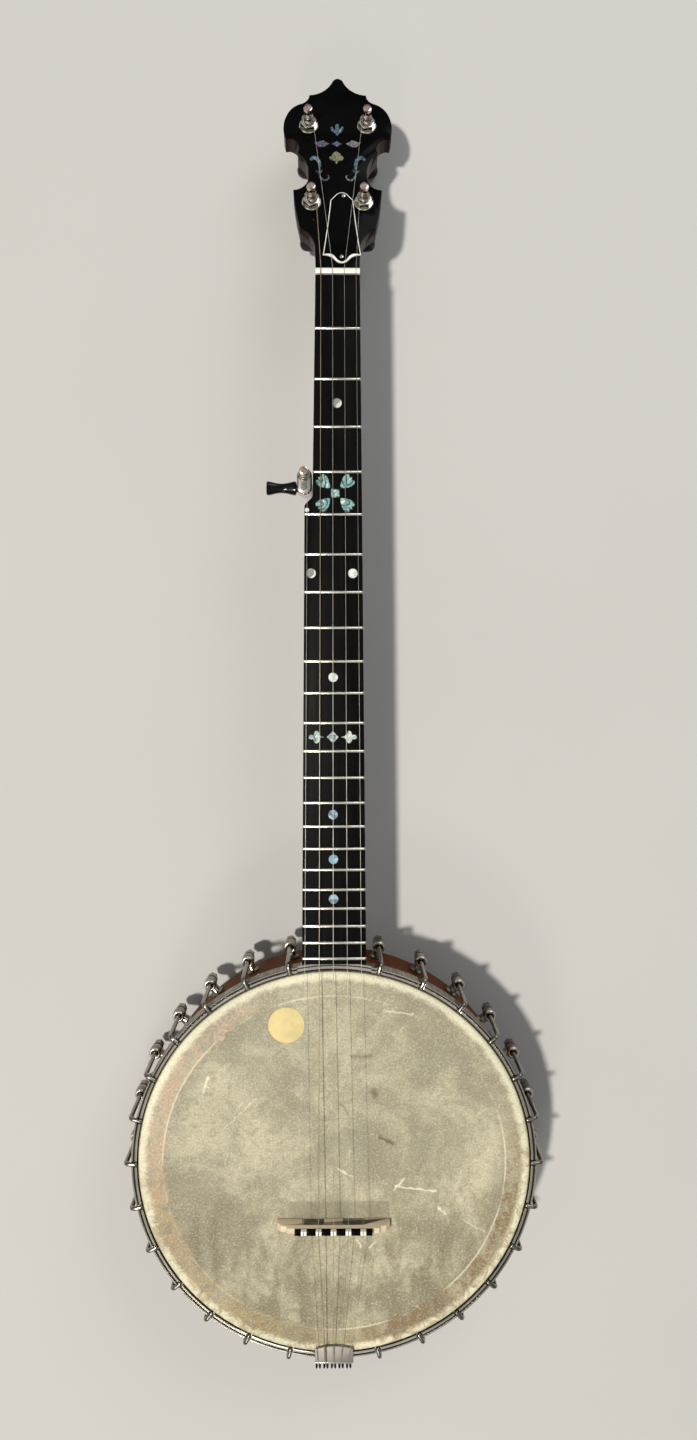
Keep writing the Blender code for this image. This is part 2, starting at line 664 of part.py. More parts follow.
# The treble half of the peghead's outline: where each arc passes and where it ends, from the nut to the tip
PEGHEAD_ARCS = (
    ((0.0157, 0.0080), (0.0160, 0.0150)),
    ((0.0186, 0.0265), (0.0269, 0.0335)),
    ((0.0302, 0.0500), (0.0318, 0.0647)),
    ((0.0245, 0.0676), (0.0211, 0.0770)),
    ((0.0226, 0.0880), (0.0289, 0.0961)),
    ((0.0283, 0.1035), (0.0337, 0.1087)),
    ((0.0360, 0.1090), (0.0380, 0.1086)),
    ((0.0394, 0.1190), (0.0354, 0.1312)),
    ((0.0315, 0.1354), (0.0260, 0.1382)),
    ((0.0223, 0.1410), (0.0208, 0.1454)),
    ((0.0115, 0.1483), (0.0042, 0.1565)),
    ((0.0024, 0.1590), (0.0000, 0.1600)),
)


def mirrored_outline(first, arcs):
    """A symmetric outline from the arcs of its right half."""
    half = []
    for middle, end in arcs:
        half += arc_through(first, middle, end)
        first = end
    return half + [first] + [(-x, y) for x, y in reversed(half)]


def peghead_outline():
    return mirrored_outline((NUT_WIDTH / 2, 0), PEGHEAD_ARCS)


def peg_places():
    """The four pegs with the string of each, from the bass side: fourth, third, second and first."""
    (high_y, high_x), (low_y, low_x) = UPPER_PEG, LOWER_PEG
    return {4: (-low_x, low_y), 3: (-high_x, high_y), 2: (high_x, high_y), 1: (low_x, low_y)}


def peg_holes():
    shape = bmesh.new()
    for place in peg_places().values():
        rod(PEG_HOLE_RADIUS + GAP, -2 * PEGHEAD_THICKNESS, PEGHEAD_THICKNESS, PEG_SIDES, place, shape)
    return shape


def truss_channel():
    """The channel under the fingerboard, which runs out through the peghead's face."""
    half = TRUSS_NUT_RADIUS + GAP
    floor = WOOD_TOP - TRUSS_CHANNEL_WALL - 2 * TRUSS_NUT_RADIUS
    end = NUT_Y + TRUSS_ROD_PAST_NUT + TRUSS_POCKET_LENGTH
    return box(
        NUT_MIDDLE - half, NUT_MIDDLE + half, TRUSS_ROD_START - GAP, end, floor, BOARD_THICKNESS
    )


def pot_cutter():
    """The pot's outside with a clearance, which shapes the heel's face."""
    far, high = -POT_DEPTH * 2, POT_DEPTH
    ledge = FLESH_HOOP_BOTTOM - 2 * GAP
    profile = [(0, far), (RIM_RADIUS + GAP, far), (RIM_RADIUS + GAP, ledge)]
    profile += [(HOOP_OUTER + GAP, ledge), (HOOP_OUTER + GAP, high), (0, high)]
    return turned(profile, RING_STEPS)


def add_neck():
    neck = add_object("neck", neck_shape(), FINISHES["neck_wood"])
    core = prism(peghead_outline(), CORE_BOTTOM, CORE_TOP)
    join(neck, "peghead_core", core, PEGHEAD_FRAME)
    cut(neck, "pot_outside", pot_cutter())
    cut(neck, "neck_peg_holes", peg_holes(), PEGHEAD_FRAME)
    cut(neck, "neck_truss_channel", truss_channel(), NECK_FRAME)
    end = RIM_RADIUS + COORDINATOR_IN_HEEL + GAP
    socket = turn_to_y(rod(COORDINATOR_BOLT_RADIUS + GAP, RIM_RADIUS - RIM_WALL, end, 10))
    cut(neck, "heel_bolt_socket", socket, Matrix.Translation((0, 0, -COORDINATOR_DEPTH)))
    cut(neck, "fifth_peg_socket", fifth_stub(GAP), NECK_FRAME @ fifth_frame())


def add_overlay():
    overlay = prism(peghead_outline(), -OVERLAY_THICKNESS, 0)
    piece = add_object("peghead_overlay", overlay, FINISHES["black_face"], PEGHEAD_FRAME)
    cut(piece, "overlay_peg_holes", peg_holes(), PEGHEAD_FRAME)
    cut(piece, "overlay_truss_opening", truss_channel(), NECK_FRAME)


# The truss rod cover: a bell outline with a small arch on top
COVER_MIDDLE = 0.003
COVER_BOTTOM = 0.0042
COVER_ARCS = (
    ((0.0026, 0.0048), (0.0050, 0.0068)),
    ((0.0085, 0.0096), (0.0134, 0.0105)),
    ((0.0104, 0.0330), (0.0081, 0.0550)),
    ((0.0062, 0.0572), (0.0038, 0.0600)),
    ((0.0020, 0.0611), (0.0000, 0.0615)),
)


def add_truss_rod():
    cover = mirrored_outline((0, COVER_BOTTOM), COVER_ARCS)[1:]
    bottom = GAP
    edge = COVER_THICKNESS - COVER_EDGE
    levels = []
    for inset, height in ((0, bottom), (0, bottom + edge), (COVER_EDGE, bottom + COVER_THICKNESS)):
        levels.append([Vector((x, y, height)) for x, y in inset_outline(cover, inset)])
    frame = PEGHEAD_FRAME @ Matrix.Translation((COVER_MIDDLE, 0, 0))
    add_object("truss_rod_cover", lofted(levels), FINISHES["black_face"], frame)
    end = NUT_Y + TRUSS_ROD_PAST_NUT
    nut_start = end - TRUSS_NUT_LENGTH
    profile = [(0, TRUSS_ROD_START), (TRUSS_ROD_RADIUS, TRUSS_ROD_START), (TRUSS_ROD_RADIUS, nut_start)]
    profile += [(TRUSS_NUT_RADIUS, nut_start), (TRUSS_NUT_RADIUS, end), (0, end)]
    height = WOOD_TOP - TRUSS_CHANNEL_WALL - TRUSS_NUT_RADIUS + GAP
    frame = NECK_FRAME @ Matrix.Translation((NUT_MIDDLE, 0, height))
    add_object("truss_rod", turn_to_y(turned(profile, 8)), FINISHES["steel"], frame)


def inset_outline(outline, inset):
    """The outline drawn towards its middle, by the inset along each side's normal."""
    drawn = []
    for i, (x, y) in enumerate(outline):
        (ax, ay), (bx, by) = outline[i - 1], outline[(i + 1) % len(outline)]
        length = math.hypot(bx - ax, by - ay)
        drawn.append((x - (by - ay) / length * inset, y + (bx - ax) / length * inset))
    return drawn


# Tuning pegs


def flatten_to_hex(shape, radius):
    """Draws every second point of a twelve-sided band in, so that the band has six flats."""
    for vert in shape.verts:
        if abs(math.hypot(vert.co.x, vert.co.y) - radius) > 1e-5:
            continue
        corner = round(math.degrees(math.atan2(vert.co.y, vert.co.x)) / 30)
        if corner % 2:
            vert.co.x *= math.cos(math.pi / 6)
            vert.co.y *= math.cos(math.pi / 6)


def peg_case():
    """The case behind the peghead, its bushing through the wood, and the washer and hex nut in front."""
    bore, shaft = POST_RADIUS + GAP, BUTTON_SHAFT_RADIUS + GAP
    back = CORE_BOTTOM - GAP
    rear = back - CASE_LENGTH
    nut_top = GAP + WASHER_THICKNESS + HEX_NUT_HEIGHT
    collar_top = nut_top + COLLAR_RISE
    profile = [(0, -POST_DEPTH_IN_BUSHING - GAP), (bore, -POST_DEPTH_IN_BUSHING - GAP), (bore, collar_top)]
    profile += [(bore + COLLAR_WALL, collar_top), (bore + COLLAR_FOOT_WALL, nut_top)]
    profile.append((HEX_NUT_RADIUS, nut_top))
    washer_top = GAP + WASHER_THICKNESS
    profile += [(HEX_NUT_RADIUS, washer_top), (WASHER_RADIUS, washer_top), (WASHER_RADIUS, GAP)]
    profile += [(PEG_HOLE_RADIUS, GAP), (PEG_HOLE_RADIUS, back), (CASE_RADIUS, back)]
    profile += [(CASE_RADIUS, back - CASE_LENGTH * 0.55), (CASE_RADIUS * 0.86, back - CASE_LENGTH * 0.62)]
    profile += [(CASE_RADIUS * 0.80, rear + 0.001), (CASE_RADIUS * 0.68, rear), (shaft, rear)]
    profile += [(shaft, rear + BUTTON_SHAFT_DEPTH + GAP), (0, rear + BUTTON_SHAFT_DEPTH + GAP)]
    shape = turned(profile, PEG_SIDES)
    flatten_to_hex(shape, HEX_NUT_RADIUS)
    return shape


def peg_post(height, depth):
    """The string post: a waist for the winding under a wide cap."""
    high = height - POST_CAP_LENGTH
    low = high - POST_WAIST_LENGTH
    profile = [(0, -depth), (POST_RADIUS, -depth), (POST_RADIUS, low), (POST_WAIST, low + POST_SLOPE)]
    profile += [(POST_WAIST, high - POST_SLOPE), (POST_RADIUS, high), (POST_RADIUS, height - POST_EDGE)]
    profile += [(POST_RADIUS - POST_EDGE, height), (0, height)]
    return turned(profile, 10)


def oval(half_x, half_y, z, sides=12, power=2.6):
    """A rounded rectangle as a superellipse."""
    points = []
    for a in ring_angles(sides):
        x = math.copysign(abs(math.cos(a)) ** (2 / power), math.cos(a))
        y = math.copysign(abs(math.sin(a)) ** (2 / power), math.sin(a))
        points.append(Vector((half_x * x, half_y * y, z)))
    return points


def peg_button():
    """The button and its shaft, down from the case's rear at z = 0."""
    neck, thick = BUTTON_NECK_RADIUS, BUTTON_THICKNESS / 2
    wide, tall = BUTTON_WIDTH / 2, BUTTON_LENGTH
    levels = [(BUTTON_SHAFT_RADIUS, BUTTON_SHAFT_RADIUS, BUTTON_SHAFT_DEPTH, 2)]
    levels += [(BUTTON_SHAFT_RADIUS, BUTTON_SHAFT_RADIUS, -GAP, 2), (neck, neck, -GAP, 2)]
    levels.append((neck, neck, -tall * 0.12, 2))
    levels += [(wide * 0.80, thick * 0.95, -tall * 0.30, 2.6), (wide, thick, -tall * 0.58, 2.6)]
    levels += [(wide * 0.93, thick, -tall * 0.85, 2.6), (wide * 0.70, thick * 0.7, -tall, 2.6)]
    return lofted([oval(x, y, z, 12, power) for x, y, z, power in reversed(levels)])


def add_tuning_pegs():
    rear = CORE_BOTTOM - GAP - CASE_LENGTH
    for number, (x, y) in peg_places().items():
        frame = PEGHEAD_FRAME @ Matrix.Translation((x, y, 0))
        post = peg_post(POST_HEIGHT, POST_DEPTH_IN_BUSHING)
        add_object(f"tuner_{number}_case", peg_case(), FINISHES["nickel"], frame)
        add_object(f"tuner_{number}_post", post, FINISHES["nickel"], frame)
        button_frame = frame @ Matrix.Translation((0, 0, rear))
        add_object(f"tuner_{number}_button", peg_button(), FINISHES["black_knob"], button_frame)


def fifth_frame():
    """The fifth peg's frame: on the post's axis, at the case's top, with y along the neck."""
    x = BASS_EDGE_ABOVE_STEP - GAP - FIFTH_CASE_WIDTH / 2
    start = STEP_FRET_Y + STEP_HIGH + FIFTH_CASE_ABOVE_STEP
    return Matrix.Translation((x, start + FIFTH_CASE_WIDTH / 2 + FIFTH_WORM_OFFSET, FIFTH_CASE_TOP))


def fifth_stub(clearance):
    """The stub that holds the case in the neck's side, under the board, made along x."""
    shape = rod(FIFTH_STUB_RADIUS + clearance, 0, FIFTH_CASE_WIDTH / 2 + FIFTH_STUB_LENGTH + clearance, 10)
    turn = Matrix.Rotation(math.radians(90), 3, "Y")
    bmesh.ops.rotate(shape, verts=shape.verts, cent=(0, 0, 0), matrix=turn)
    bmesh.ops.translate(shape, verts=shape.verts, vec=(0, 0, FIFTH_STUB_RADIUS - FIFTH_CASE_HEIGHT))
    return shape


def add_fifth_peg():
    frame = NECK_FRAME @ fifth_frame()
    half = FIFTH_CASE_WIDTH / 2
    far = FIFTH_CASE_LENGTH - half - FIFTH_WORM_OFFSET
    levels = []
    low, high = FIFTH_CASE_LOWER_EDGE, FIFTH_CASE_UPPER_EDGE
    for inset, z in ((low, -FIFTH_CASE_HEIGHT), (0, -FIFTH_CASE_HEIGHT + low), (0, -high), (high, 0)):
        r = half - inset
        outline = arc((0, -FIFTH_WORM_OFFSET), r, 180, 360, 6) + arc((0, far - half), r, 0, 180, 6)
        levels.append([Vector((x, y, z)) for x, y in outline])
    case = add_object("fifth_peg_case", lofted(levels), FINISHES["nickel"], frame)
    join(case, "fifth_stub", fifth_stub(0), frame)
    depth = FIFTH_CASE_HEIGHT * 0.5
    cut(case, "fifth_post_bore", rod(POST_RADIUS + GAP, -depth - GAP, FIFTH_CASE_HEIGHT, 10), frame)
    worm = frame @ Matrix.Translation((0, -FIFTH_WORM_OFFSET, -FIFTH_CASE_HEIGHT / 2))
    worm @= Matrix.Rotation(math.radians(-90), 4, "Y")
    cut(case, "worm_bore", rod(BUTTON_SHAFT_RADIUS + GAP, 0, FIFTH_CASE_WIDTH, 12), worm)
    add_object("fifth_peg_post", peg_post(FIFTH_POST_HEIGHT, depth), FINISHES["nickel"], frame)
    knob_frame = worm @ Matrix.Translation((0, 0, half + GAP))
    add_object("fifth_peg_knob", knob_shape(), FINISHES["black_knob"], knob_frame)


def knob_shape():
    """A flat knob with a waist, out from the case's side at z = 0, and the shaft of its worm."""
    wide, waist, tall = KNOB_WIDTH / 2, KNOB_WAIST / 2, KNOB_HEIGHT / 2
    shaft = BUTTON_SHAFT_RADIUS
    levels = [(shaft, shaft, -FIFTH_CASE_WIDTH / 2, 2), (shaft, shaft, 0, 2)]
    levels.append((wide * 0.7, wide * 0.7, 0, 2))
    levels.append((wide * 0.7, wide * 0.7, KNOB_COLLAR_LENGTH, 2))
    levels.append((wide * 0.92, tall * 0.85, KNOB_LENGTH * 0.12, 2.6))
    levels += [(wide * 0.96, tall, KNOB_LENGTH * 0.22, 2.6), (waist, tall * 0.94, KNOB_LENGTH * 0.5, 2.6)]
    levels += [(wide * 0.9, tall, KNOB_LENGTH * 0.80, 2.6), (wide, tall * 0.96, KNOB_LENGTH * 0.93, 2.6)]
    levels += [(wide * 0.84, tall * 0.8, KNOB_LENGTH, 2.6)]
    return lofted([oval(x, y, z, 12, power) for x, y, z, power in levels])


# Bridge and tailpiece


def bridge_string_x(number):
    return BRIDGE_MIDDLE + (2 - number) * BRIDGE_STRING_SPACING


def tail_string_x(number):
    return BRIDGE_MIDDLE + (2 - number) * TAIL_STRING_SPACING


def nut_string_x(number):
    return NUT_STRING_MIDDLE + (1.5 - number) * NUT_STRING_SPACING


def add_bridge():
    """The outline in x and z with two arches between its feet, thinned towards the top."""
    height = BRIDGE_HEIGHT - GAP
    middle, outer, arch = BRIDGE_MIDDLE_FOOT_HALF, BRIDGE_OUTER_FOOT_START, BRIDGE_ARCH_HEIGHT
    half = [(middle, 0), (middle + BRIDGE_ARCH_SLOPE, arch), (outer - BRIDGE_ARCH_SLOPE, arch), (outer, 0)]
    half += [(BRIDGE_HALF_WIDTH, 0), (BRIDGE_HALF_WIDTH, height * 0.28)]
    half += [(BRIDGE_HALF_WIDTH - BRIDGE_END_CHAMFER, height * 0.54), (BRIDGE_SHOULDER, height * 0.60)]
    half.append((BRIDGE_SHOULDER - BRIDGE_TOP_STEP, height * 0.84))
    half += [(BRIDGE_TOP_HALF_WIDTH, height * 0.86), (BRIDGE_TOP_HALF_WIDTH, height)]
    outline = half + [(-x, z) for x, z in reversed(half)]
    thick = BRIDGE_FOOT_THICKNESS / 2
    shape = prism(outline, -thick, thick)
    turn = Matrix.Rotation(math.radians(90), 3, "X")
    bmesh.ops.rotate(shape, verts=shape.verts, cent=(0, 0, 0), matrix=turn)
    for vert in shape.verts:
        vert.co.y *= between(1, BRIDGE_TOP_THICKNESS / BRIDGE_FOOT_THICKNESS, vert.co.z / height)
    frame = Matrix.Translation((BRIDGE_MIDDLE, BRIDGE_Y, GAP))
    bridge = add_object("bridge", shape, FINISHES["maple"], frame)
    slots = bmesh.new()
    for number in range(5):
        x, side = bridge_string_x(number), SLOT_WIDTH / 2
        floor, over = BRIDGE_HEIGHT - BRIDGE_SLOT_DEPTH, BRIDGE_HEIGHT * 2
        box(x - side, x + side, BRIDGE_Y - thick, BRIDGE_Y + thick, floor, over, slots)
    cut(bridge, "bridge_slots", slots)


def add_tailpiece():
    """A plate over the hoop, its bent lip with the string teeth, and the strap down to the tail bolt."""
    half, top, bottom = TAIL_WIDTH / 2, TAIL_RISE, TAIL_RISE - TAIL_SHEET
    front, inner = -(HOOP_OUTER - TAIL_FRONT), -(HOOP_OUTER + GAP)
    outer = inner - TAIL_SHEET
    edge = [(half, front - TAIL_FRONT_ARCH), (0, front), (-half, front - TAIL_FRONT_ARCH)]
    plan = arc_through(*edge, 8) + [edge[-1], (-half, outer), (half, outer)]
    plate = add_object("tailpiece", prism(plan, bottom, top), FINISHES["nickel"])
    high, lip_end = top - TAIL_SHEET / 2, top - TAIL_LIP
    section = [(inner, high), (inner, lip_end), (outer, lip_end), (outer, high)]
    join(plate, "tail_lip", side_prism(section, -half + GAP, half - GAP))
    seat = -(RIM_RADIUS + GAP)
    low, bend_low = FLESH_HOOP_BOTTOM - 2 * GAP, -TONE_RING_SKIRT - GAP
    end = -COORDINATOR_DEPTH - TAIL_STRAP_PAST_BOLT
    strap = [(inner, lip_end + GAP), (inner, low), (seat, bend_low), (seat, end), (seat - TAIL_SHEET, end)]
    strap += [(seat - TAIL_SHEET, bend_low + GAP), (outer, low + GAP), (outer, lip_end + GAP)]
    join(plate, "tail_strap", side_prism(strap, -TAIL_STRAP_WIDTH / 2, TAIL_STRAP_WIDTH / 2))
    join(plate, "string_teeth", string_teeth(outer, top))
    hole = turn_to_y(rod(COORDINATOR_BOLT_RADIUS + GAP, -2 * RIM_RADIUS, 0, 10))
    cut(plate, "tail_bolt_hole", hole, Matrix.Translation((0, 0, -COORDINATOR_DEPTH)))


def string_teeth(outer, top):
    shape = bmesh.new()
    thick = TAIL_SHEET * 0.7
    for number in range(5):
        for side in (-1, 1):
            x = tail_string_x(number) + side * TOOTH_PAIR_GAP / 2
            root, tip = outer + TAIL_SHEET * 0.5, outer - TOOTH_LENGTH
            base = top - TAIL_SHEET * 1.2
            low = base - TOOTH_DROOP
            outline = [(root, base), (tip, low), (tip, low + thick * 0.6), (root, base + thick)]
            tooth = side_prism(outline, x - TOOTH_WIDTH / 2, x + TOOTH_WIDTH / 2)
            mesh = bpy.data.meshes.new("tooth")
            tooth.to_mesh(mesh)
            tooth.free()
            shape.from_mesh(mesh)
            bpy.data.meshes.remove(mesh)
    return shape


# Strings


def winding(frame, radius, side):
    """The turns round a post, from the top one down to where the string leaves the post's side."""
    reach = POST_WAIST + GAP + radius
    steps = STRING_TURNS * POINTS_PER_TURN
    points = []
    for i in range(steps + 1):
        back = 2 * math.pi * (steps - i) / POINTS_PER_TURN
        angle = (0 if side > 0 else math.pi) + side * back
        height = WINDING_HEIGHT + STRING_PITCH * (steps - i) / POINTS_PER_TURN
        points.append(frame @ Vector((reach * math.cos(angle), reach * math.sin(angle), height)))
    print(f"least gap between the turns: {(STRING_PITCH - 2 * radius) * 1000:.2f} mm")
    return points


def over_bridge_to_tail(number, radius):
    """The bridge's two edges, the plate's back edge and the end between two teeth."""
    half, height = BRIDGE_TOP_THICKNESS / 2, BRIDGE_HEIGHT - BRIDGE_SLOT_DEPTH + GAP + radius
    x, tail = bridge_string_x(number), tail_string_x(number)
    back, rise = -(HOOP_OUTER + 2 * GAP + TAIL_SHEET), TAIL_RISE + GAP + radius
    points = [(x, BRIDGE_Y + half, height), (x, BRIDGE_Y - half, height)]
    points += [(tail, back + TAIL_SHEET, rise), (tail, back - radius, rise)]
    points.append((tail, back - STRING_END_PAST_PLATE, TAIL_RISE - STRING_END_DROP))
    return [Vector(point) for point in points]


def add_strings():
    places = peg_places()
    for number in range(4):
        radius, x = STRING_RADII[number], nut_string_x(number)
        peg_x, peg_y = places[number + 1]
        post = PEGHEAD_FRAME @ Matrix.Translation((peg_x, peg_y, 0))
        points = winding(post, radius, -math.copysign(1, peg_x))
        back = NUT_Y + NUT_THICKNESS + 2 * GAP
        points += [NECK_FRAME @ Vector((x, y, NUT_STRING_HEIGHT)) for y in (back, NUT_Y + GAP)]
        add_string(number + 1, points + over_bridge_to_tail(number, radius), radius)
    radius, (x, y) = STRING_RADII[4], pip_place()
    fall = POST_HEIGHT - FIFTH_POST_HEIGHT
    points = winding(NECK_FRAME @ fifth_frame() @ Matrix.Translation((0, 0, -fall)), radius, 1)
    points.append(NECK_FRAME @ Vector((x, y, PIP_RISE + GAP + radius)))
    add_string(5, points + over_bridge_to_tail(4, radius), radius)


def add_string(number, points, radius):
    curve = bpy.data.curves.new(f"string_{number}", "CURVE")
    curve.dimensions = "3D"
    curve.bevel_depth = radius
    curve.bevel_resolution = 1
    curve.use_fill_caps = True
    spline = curve.splines.new("POLY")
    spline.points.add(len(points) - 1)
    for point, place in zip(spline.points, points):
        point.co = (*place, 1)
    curve.materials.append(FINISHES["steel"])
    string = bpy.data.objects.new(f"string_{number}", curve)
    bpy.context.scene.collection.objects.link(string)
    string.parent = BANJO


# Resting pose


def pot_frame_points():
    bpy.context.view_layer.update()
    graph = bpy.context.evaluated_depsgraph_get()
    points = []
    for obj in bpy.context.scene.objects:
        if obj.hide_render or obj.type not in ("MESH", "CURVE"):
            continue
        evaluated = obj.evaluated_get(graph)
        matrix = evaluated.matrix_world
        points += [matrix @ vert.co for vert in evaluated.to_mesh().vertices]
        evaluated.to_mesh_clear()
    return points


def set_down():
    """Tilts the banjo until the pot and the buttons stand at one height, then centres its box."""
    points = pot_frame_points()
    near = [point for point in points if point.y < HOOP_OUTER]
    far = [point for point in points if point.y > NUT_Y]

    def lowest(group, tilt):
        return min(point.y * math.sin(tilt) + point.z * math.cos(tilt) for point in group)

    low, high = 0.0, math.radians(20)
    for _ in range(60):
        tilt = (low + high) / 2
        if lowest(near, tilt) > lowest(far, tilt):
            low = tilt
        else:
            high = tilt
    turn = Matrix.Rotation(tilt, 4, "X")
    turned_points = [turn @ point for point in points]
    lows = [min(point[i] for point in turned_points) for i in range(3)]
    highs = [max(point[i] for point in turned_points) for i in range(3)]
    shift = Vector((-(lows[0] + highs[0]) / 2, -(lows[1] + highs[1]) / 2, -lows[2]))
    BANJO.matrix_world = Matrix.Translation(shift) @ turn
    print(f"tilt {math.degrees(tilt):.3f} degrees, shift {tuple(round(value, 6) for value in shift)}")


clear_scene()
BANJO = bpy.data.objects.new("banjo", None)
bpy.context.scene.collection.objects.link(BANJO)
FINISHES = {
    "nickel": material("nickel", (0.72, 0.70, 0.66), 0.18, 1.0),
    "steel": material("steel", (0.62, 0.62, 0.62), 0.25, 1.0),
    "rim_wood": material("rim_wood", (0.22, 0.07, 0.025), 0.3),
    "neck_wood": material("neck_wood", (0.20, 0.06, 0.022), 0.3),
    "ebony": material("ebony", (0.018, 0.017, 0.016), 0.4),
    "black_face": material("black_face", (0.006, 0.006, 0.006), 0.12),
    "black_knob": material("black_knob", (0.012, 0.011, 0.010), 0.25),
    "bone": material("bone", (0.82, 0.80, 0.72), 0.4),
    "maple": material("maple", (0.42, 0.29, 0.17), 0.5),
    "skin": material("skin", (0.48, 0.43, 0.32), 0.6),
}
add_rim()
add_tone_ring()
add_head()
add_tension_hoop()
add_hooks()
add_coordinator_rod()
add_neck()
add_fingerboard()
add_nuts()
add_overlay()
add_truss_rod()
add_tuning_pegs()
add_fifth_peg()
add_bridge()
add_tailpiece()
add_strings()
set_down()
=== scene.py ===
"""An open-back five-string banjo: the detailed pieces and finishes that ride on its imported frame."""

import json
import math

import bmesh
import bpy
from bpy.props import FloatProperty, FloatVectorProperty, IntProperty, PointerProperty
from mathutils import Matrix, Vector

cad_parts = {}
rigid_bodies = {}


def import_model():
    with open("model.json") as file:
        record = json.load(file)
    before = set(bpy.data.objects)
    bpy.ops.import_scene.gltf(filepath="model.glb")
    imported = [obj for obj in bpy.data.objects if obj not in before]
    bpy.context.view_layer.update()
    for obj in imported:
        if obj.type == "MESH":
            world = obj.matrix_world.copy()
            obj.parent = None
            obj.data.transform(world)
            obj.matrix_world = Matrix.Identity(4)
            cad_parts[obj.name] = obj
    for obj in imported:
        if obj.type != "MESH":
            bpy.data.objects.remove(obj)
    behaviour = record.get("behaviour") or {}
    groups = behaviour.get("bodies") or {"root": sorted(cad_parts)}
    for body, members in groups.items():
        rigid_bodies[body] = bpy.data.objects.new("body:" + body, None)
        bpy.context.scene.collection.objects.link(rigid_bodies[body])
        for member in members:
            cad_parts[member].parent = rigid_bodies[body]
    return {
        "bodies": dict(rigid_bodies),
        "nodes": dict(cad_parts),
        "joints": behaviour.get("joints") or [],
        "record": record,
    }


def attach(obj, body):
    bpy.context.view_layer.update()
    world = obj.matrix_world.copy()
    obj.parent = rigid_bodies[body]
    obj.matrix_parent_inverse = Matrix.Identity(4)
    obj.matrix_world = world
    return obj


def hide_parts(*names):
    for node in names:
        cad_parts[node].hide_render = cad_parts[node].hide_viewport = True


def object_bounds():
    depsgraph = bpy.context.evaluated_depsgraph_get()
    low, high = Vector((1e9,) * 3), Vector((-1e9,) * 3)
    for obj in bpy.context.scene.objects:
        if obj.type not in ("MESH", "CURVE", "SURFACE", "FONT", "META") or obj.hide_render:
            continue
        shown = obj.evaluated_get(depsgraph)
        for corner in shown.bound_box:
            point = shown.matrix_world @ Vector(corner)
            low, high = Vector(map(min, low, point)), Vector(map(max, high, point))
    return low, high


bl_info = {
    "name": "Open-back banjo",
    "version": (1, 0, 0),
    "blender": (4, 5, 0),
    "location": "3D View > Sidebar > Banjo",
    "description": "Builds the visible pieces of an open-back five-string banjo and their finishes",
    "category": "Add Mesh",
}

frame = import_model()
CAD_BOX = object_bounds()

# The clearance between pieces, and the pot
GAP = 0.0003
RIM_RADIUS = 0.1397
RIM_WALL = 0.0127
POT_DEPTH = 0.070
TONE_RING_SEAT = 0.006
TONE_RING_SKIRT = 0.024
TONE_RING_BEAD = 0.0025
TONE_RING_WALL = 0.001
HEAD_THICKNESS = 0.0006
HEAD_OUTER = RIM_RADIUS + GAP + HEAD_THICKNESS
HOOP_INNER = HEAD_OUTER + 0.0006
HOOP_OUTER = HOOP_INNER + 0.004
HOOP_TOP = -0.001
HOOP_BOTTOM = HOOP_TOP - 0.012
HOOP_NOTCH = 0.0022
HOOP_NECK_HALF_WIDTH = 0.0262
HOOP_NECK_DEPTH = 0.003
FLESH_HOOP = 0.003
FLESH_HOOP_OUTER = RIM_RADIUS + GAP + FLESH_HOOP
FLESH_HOOP_BOTTOM = HOOP_BOTTOM - GAP - FLESH_HOOP
DISC_PLACE = (-0.0340, 0.1016)

# Brackets, of which the places at the neck and the tailpiece stay empty
BRACKET_PLACES = 28
HOOK_RADIUS = 0.0016
HOOK_CIRCLE = HOOP_OUTER + 0.0024 + HOOK_RADIUS
HOOK_BEND = 0.0032
HOOK_BAR_HEIGHT = HOOP_TOP - HOOP_NOTCH + GAP + HOOK_RADIUS
SHOE_TOP = 0.044
SHOE_HEIGHT = 0.013
SHOE_MIDDLE = -SHOE_TOP - SHOE_HEIGHT / 2
SHOE_NOSE = 0.0047
SHOE_BORE = HOOK_RADIUS + GAP * 1.3
HOOK_NUT_TOP = -SHOE_TOP - SHOE_HEIGHT - GAP
HOOK_NUT_LENGTH = 0.009
HOOK_NUT_RADIUS = 0.004
ROD_HEIGHT = -0.046
ROD_RADIUS = 0.0048
ROD_BOLT_RADIUS = 0.0030
ROD_BORE = 0.0036

# Scale and neck
SCALE_LENGTH = 0.66675
COMPENSATION = 0.005
FRETS = 22
FIFTH_STRING_FRET = 5
BOARD_THICKNESS = 0.0055
BOARD_START = HOOP_OUTER + 0.0005
NUT_MIDDLE = 0.0020
NUT_WIDTH = 0.0312
NUT_THICKNESS = 0.0042
NUT_RISE = 0.0022
NUT_STRING_HEIGHT = 0.0016
NUT_STRINGS_MIDDLE, NUT_STRING_STEP = 0.0026, 0.0082
STEP_LOW, STEP_HIGH = 0.0057, 0.0134
TREBLE_EDGE_AT_END = 0.0225
BASS_EDGE_AT_END = -0.02285
BASS_EDGE_BELOW_STEP = -0.0212
BASS_EDGE_ABOVE_STEP = -0.0157
NECK_RISE = 0.0015
NECK_TILT = -3
PIP_RADIUS, PIP_TOP = 0.0015, 0.0012
PEGHEAD_DROP = 0.0036
PEGHEAD_ANGLE = math.radians(14.5)
OVERLAY_THICKNESS = 0.0018
INLAY_TOP, INLAY_BOTTOM = 0.00006, -0.0004
PEGHEAD_THICKNESS = 0.015
COVER_MIDDLE, COVER_BOTTOM = 0.003, 0.0042
COVER_THICKNESS = 0.0014

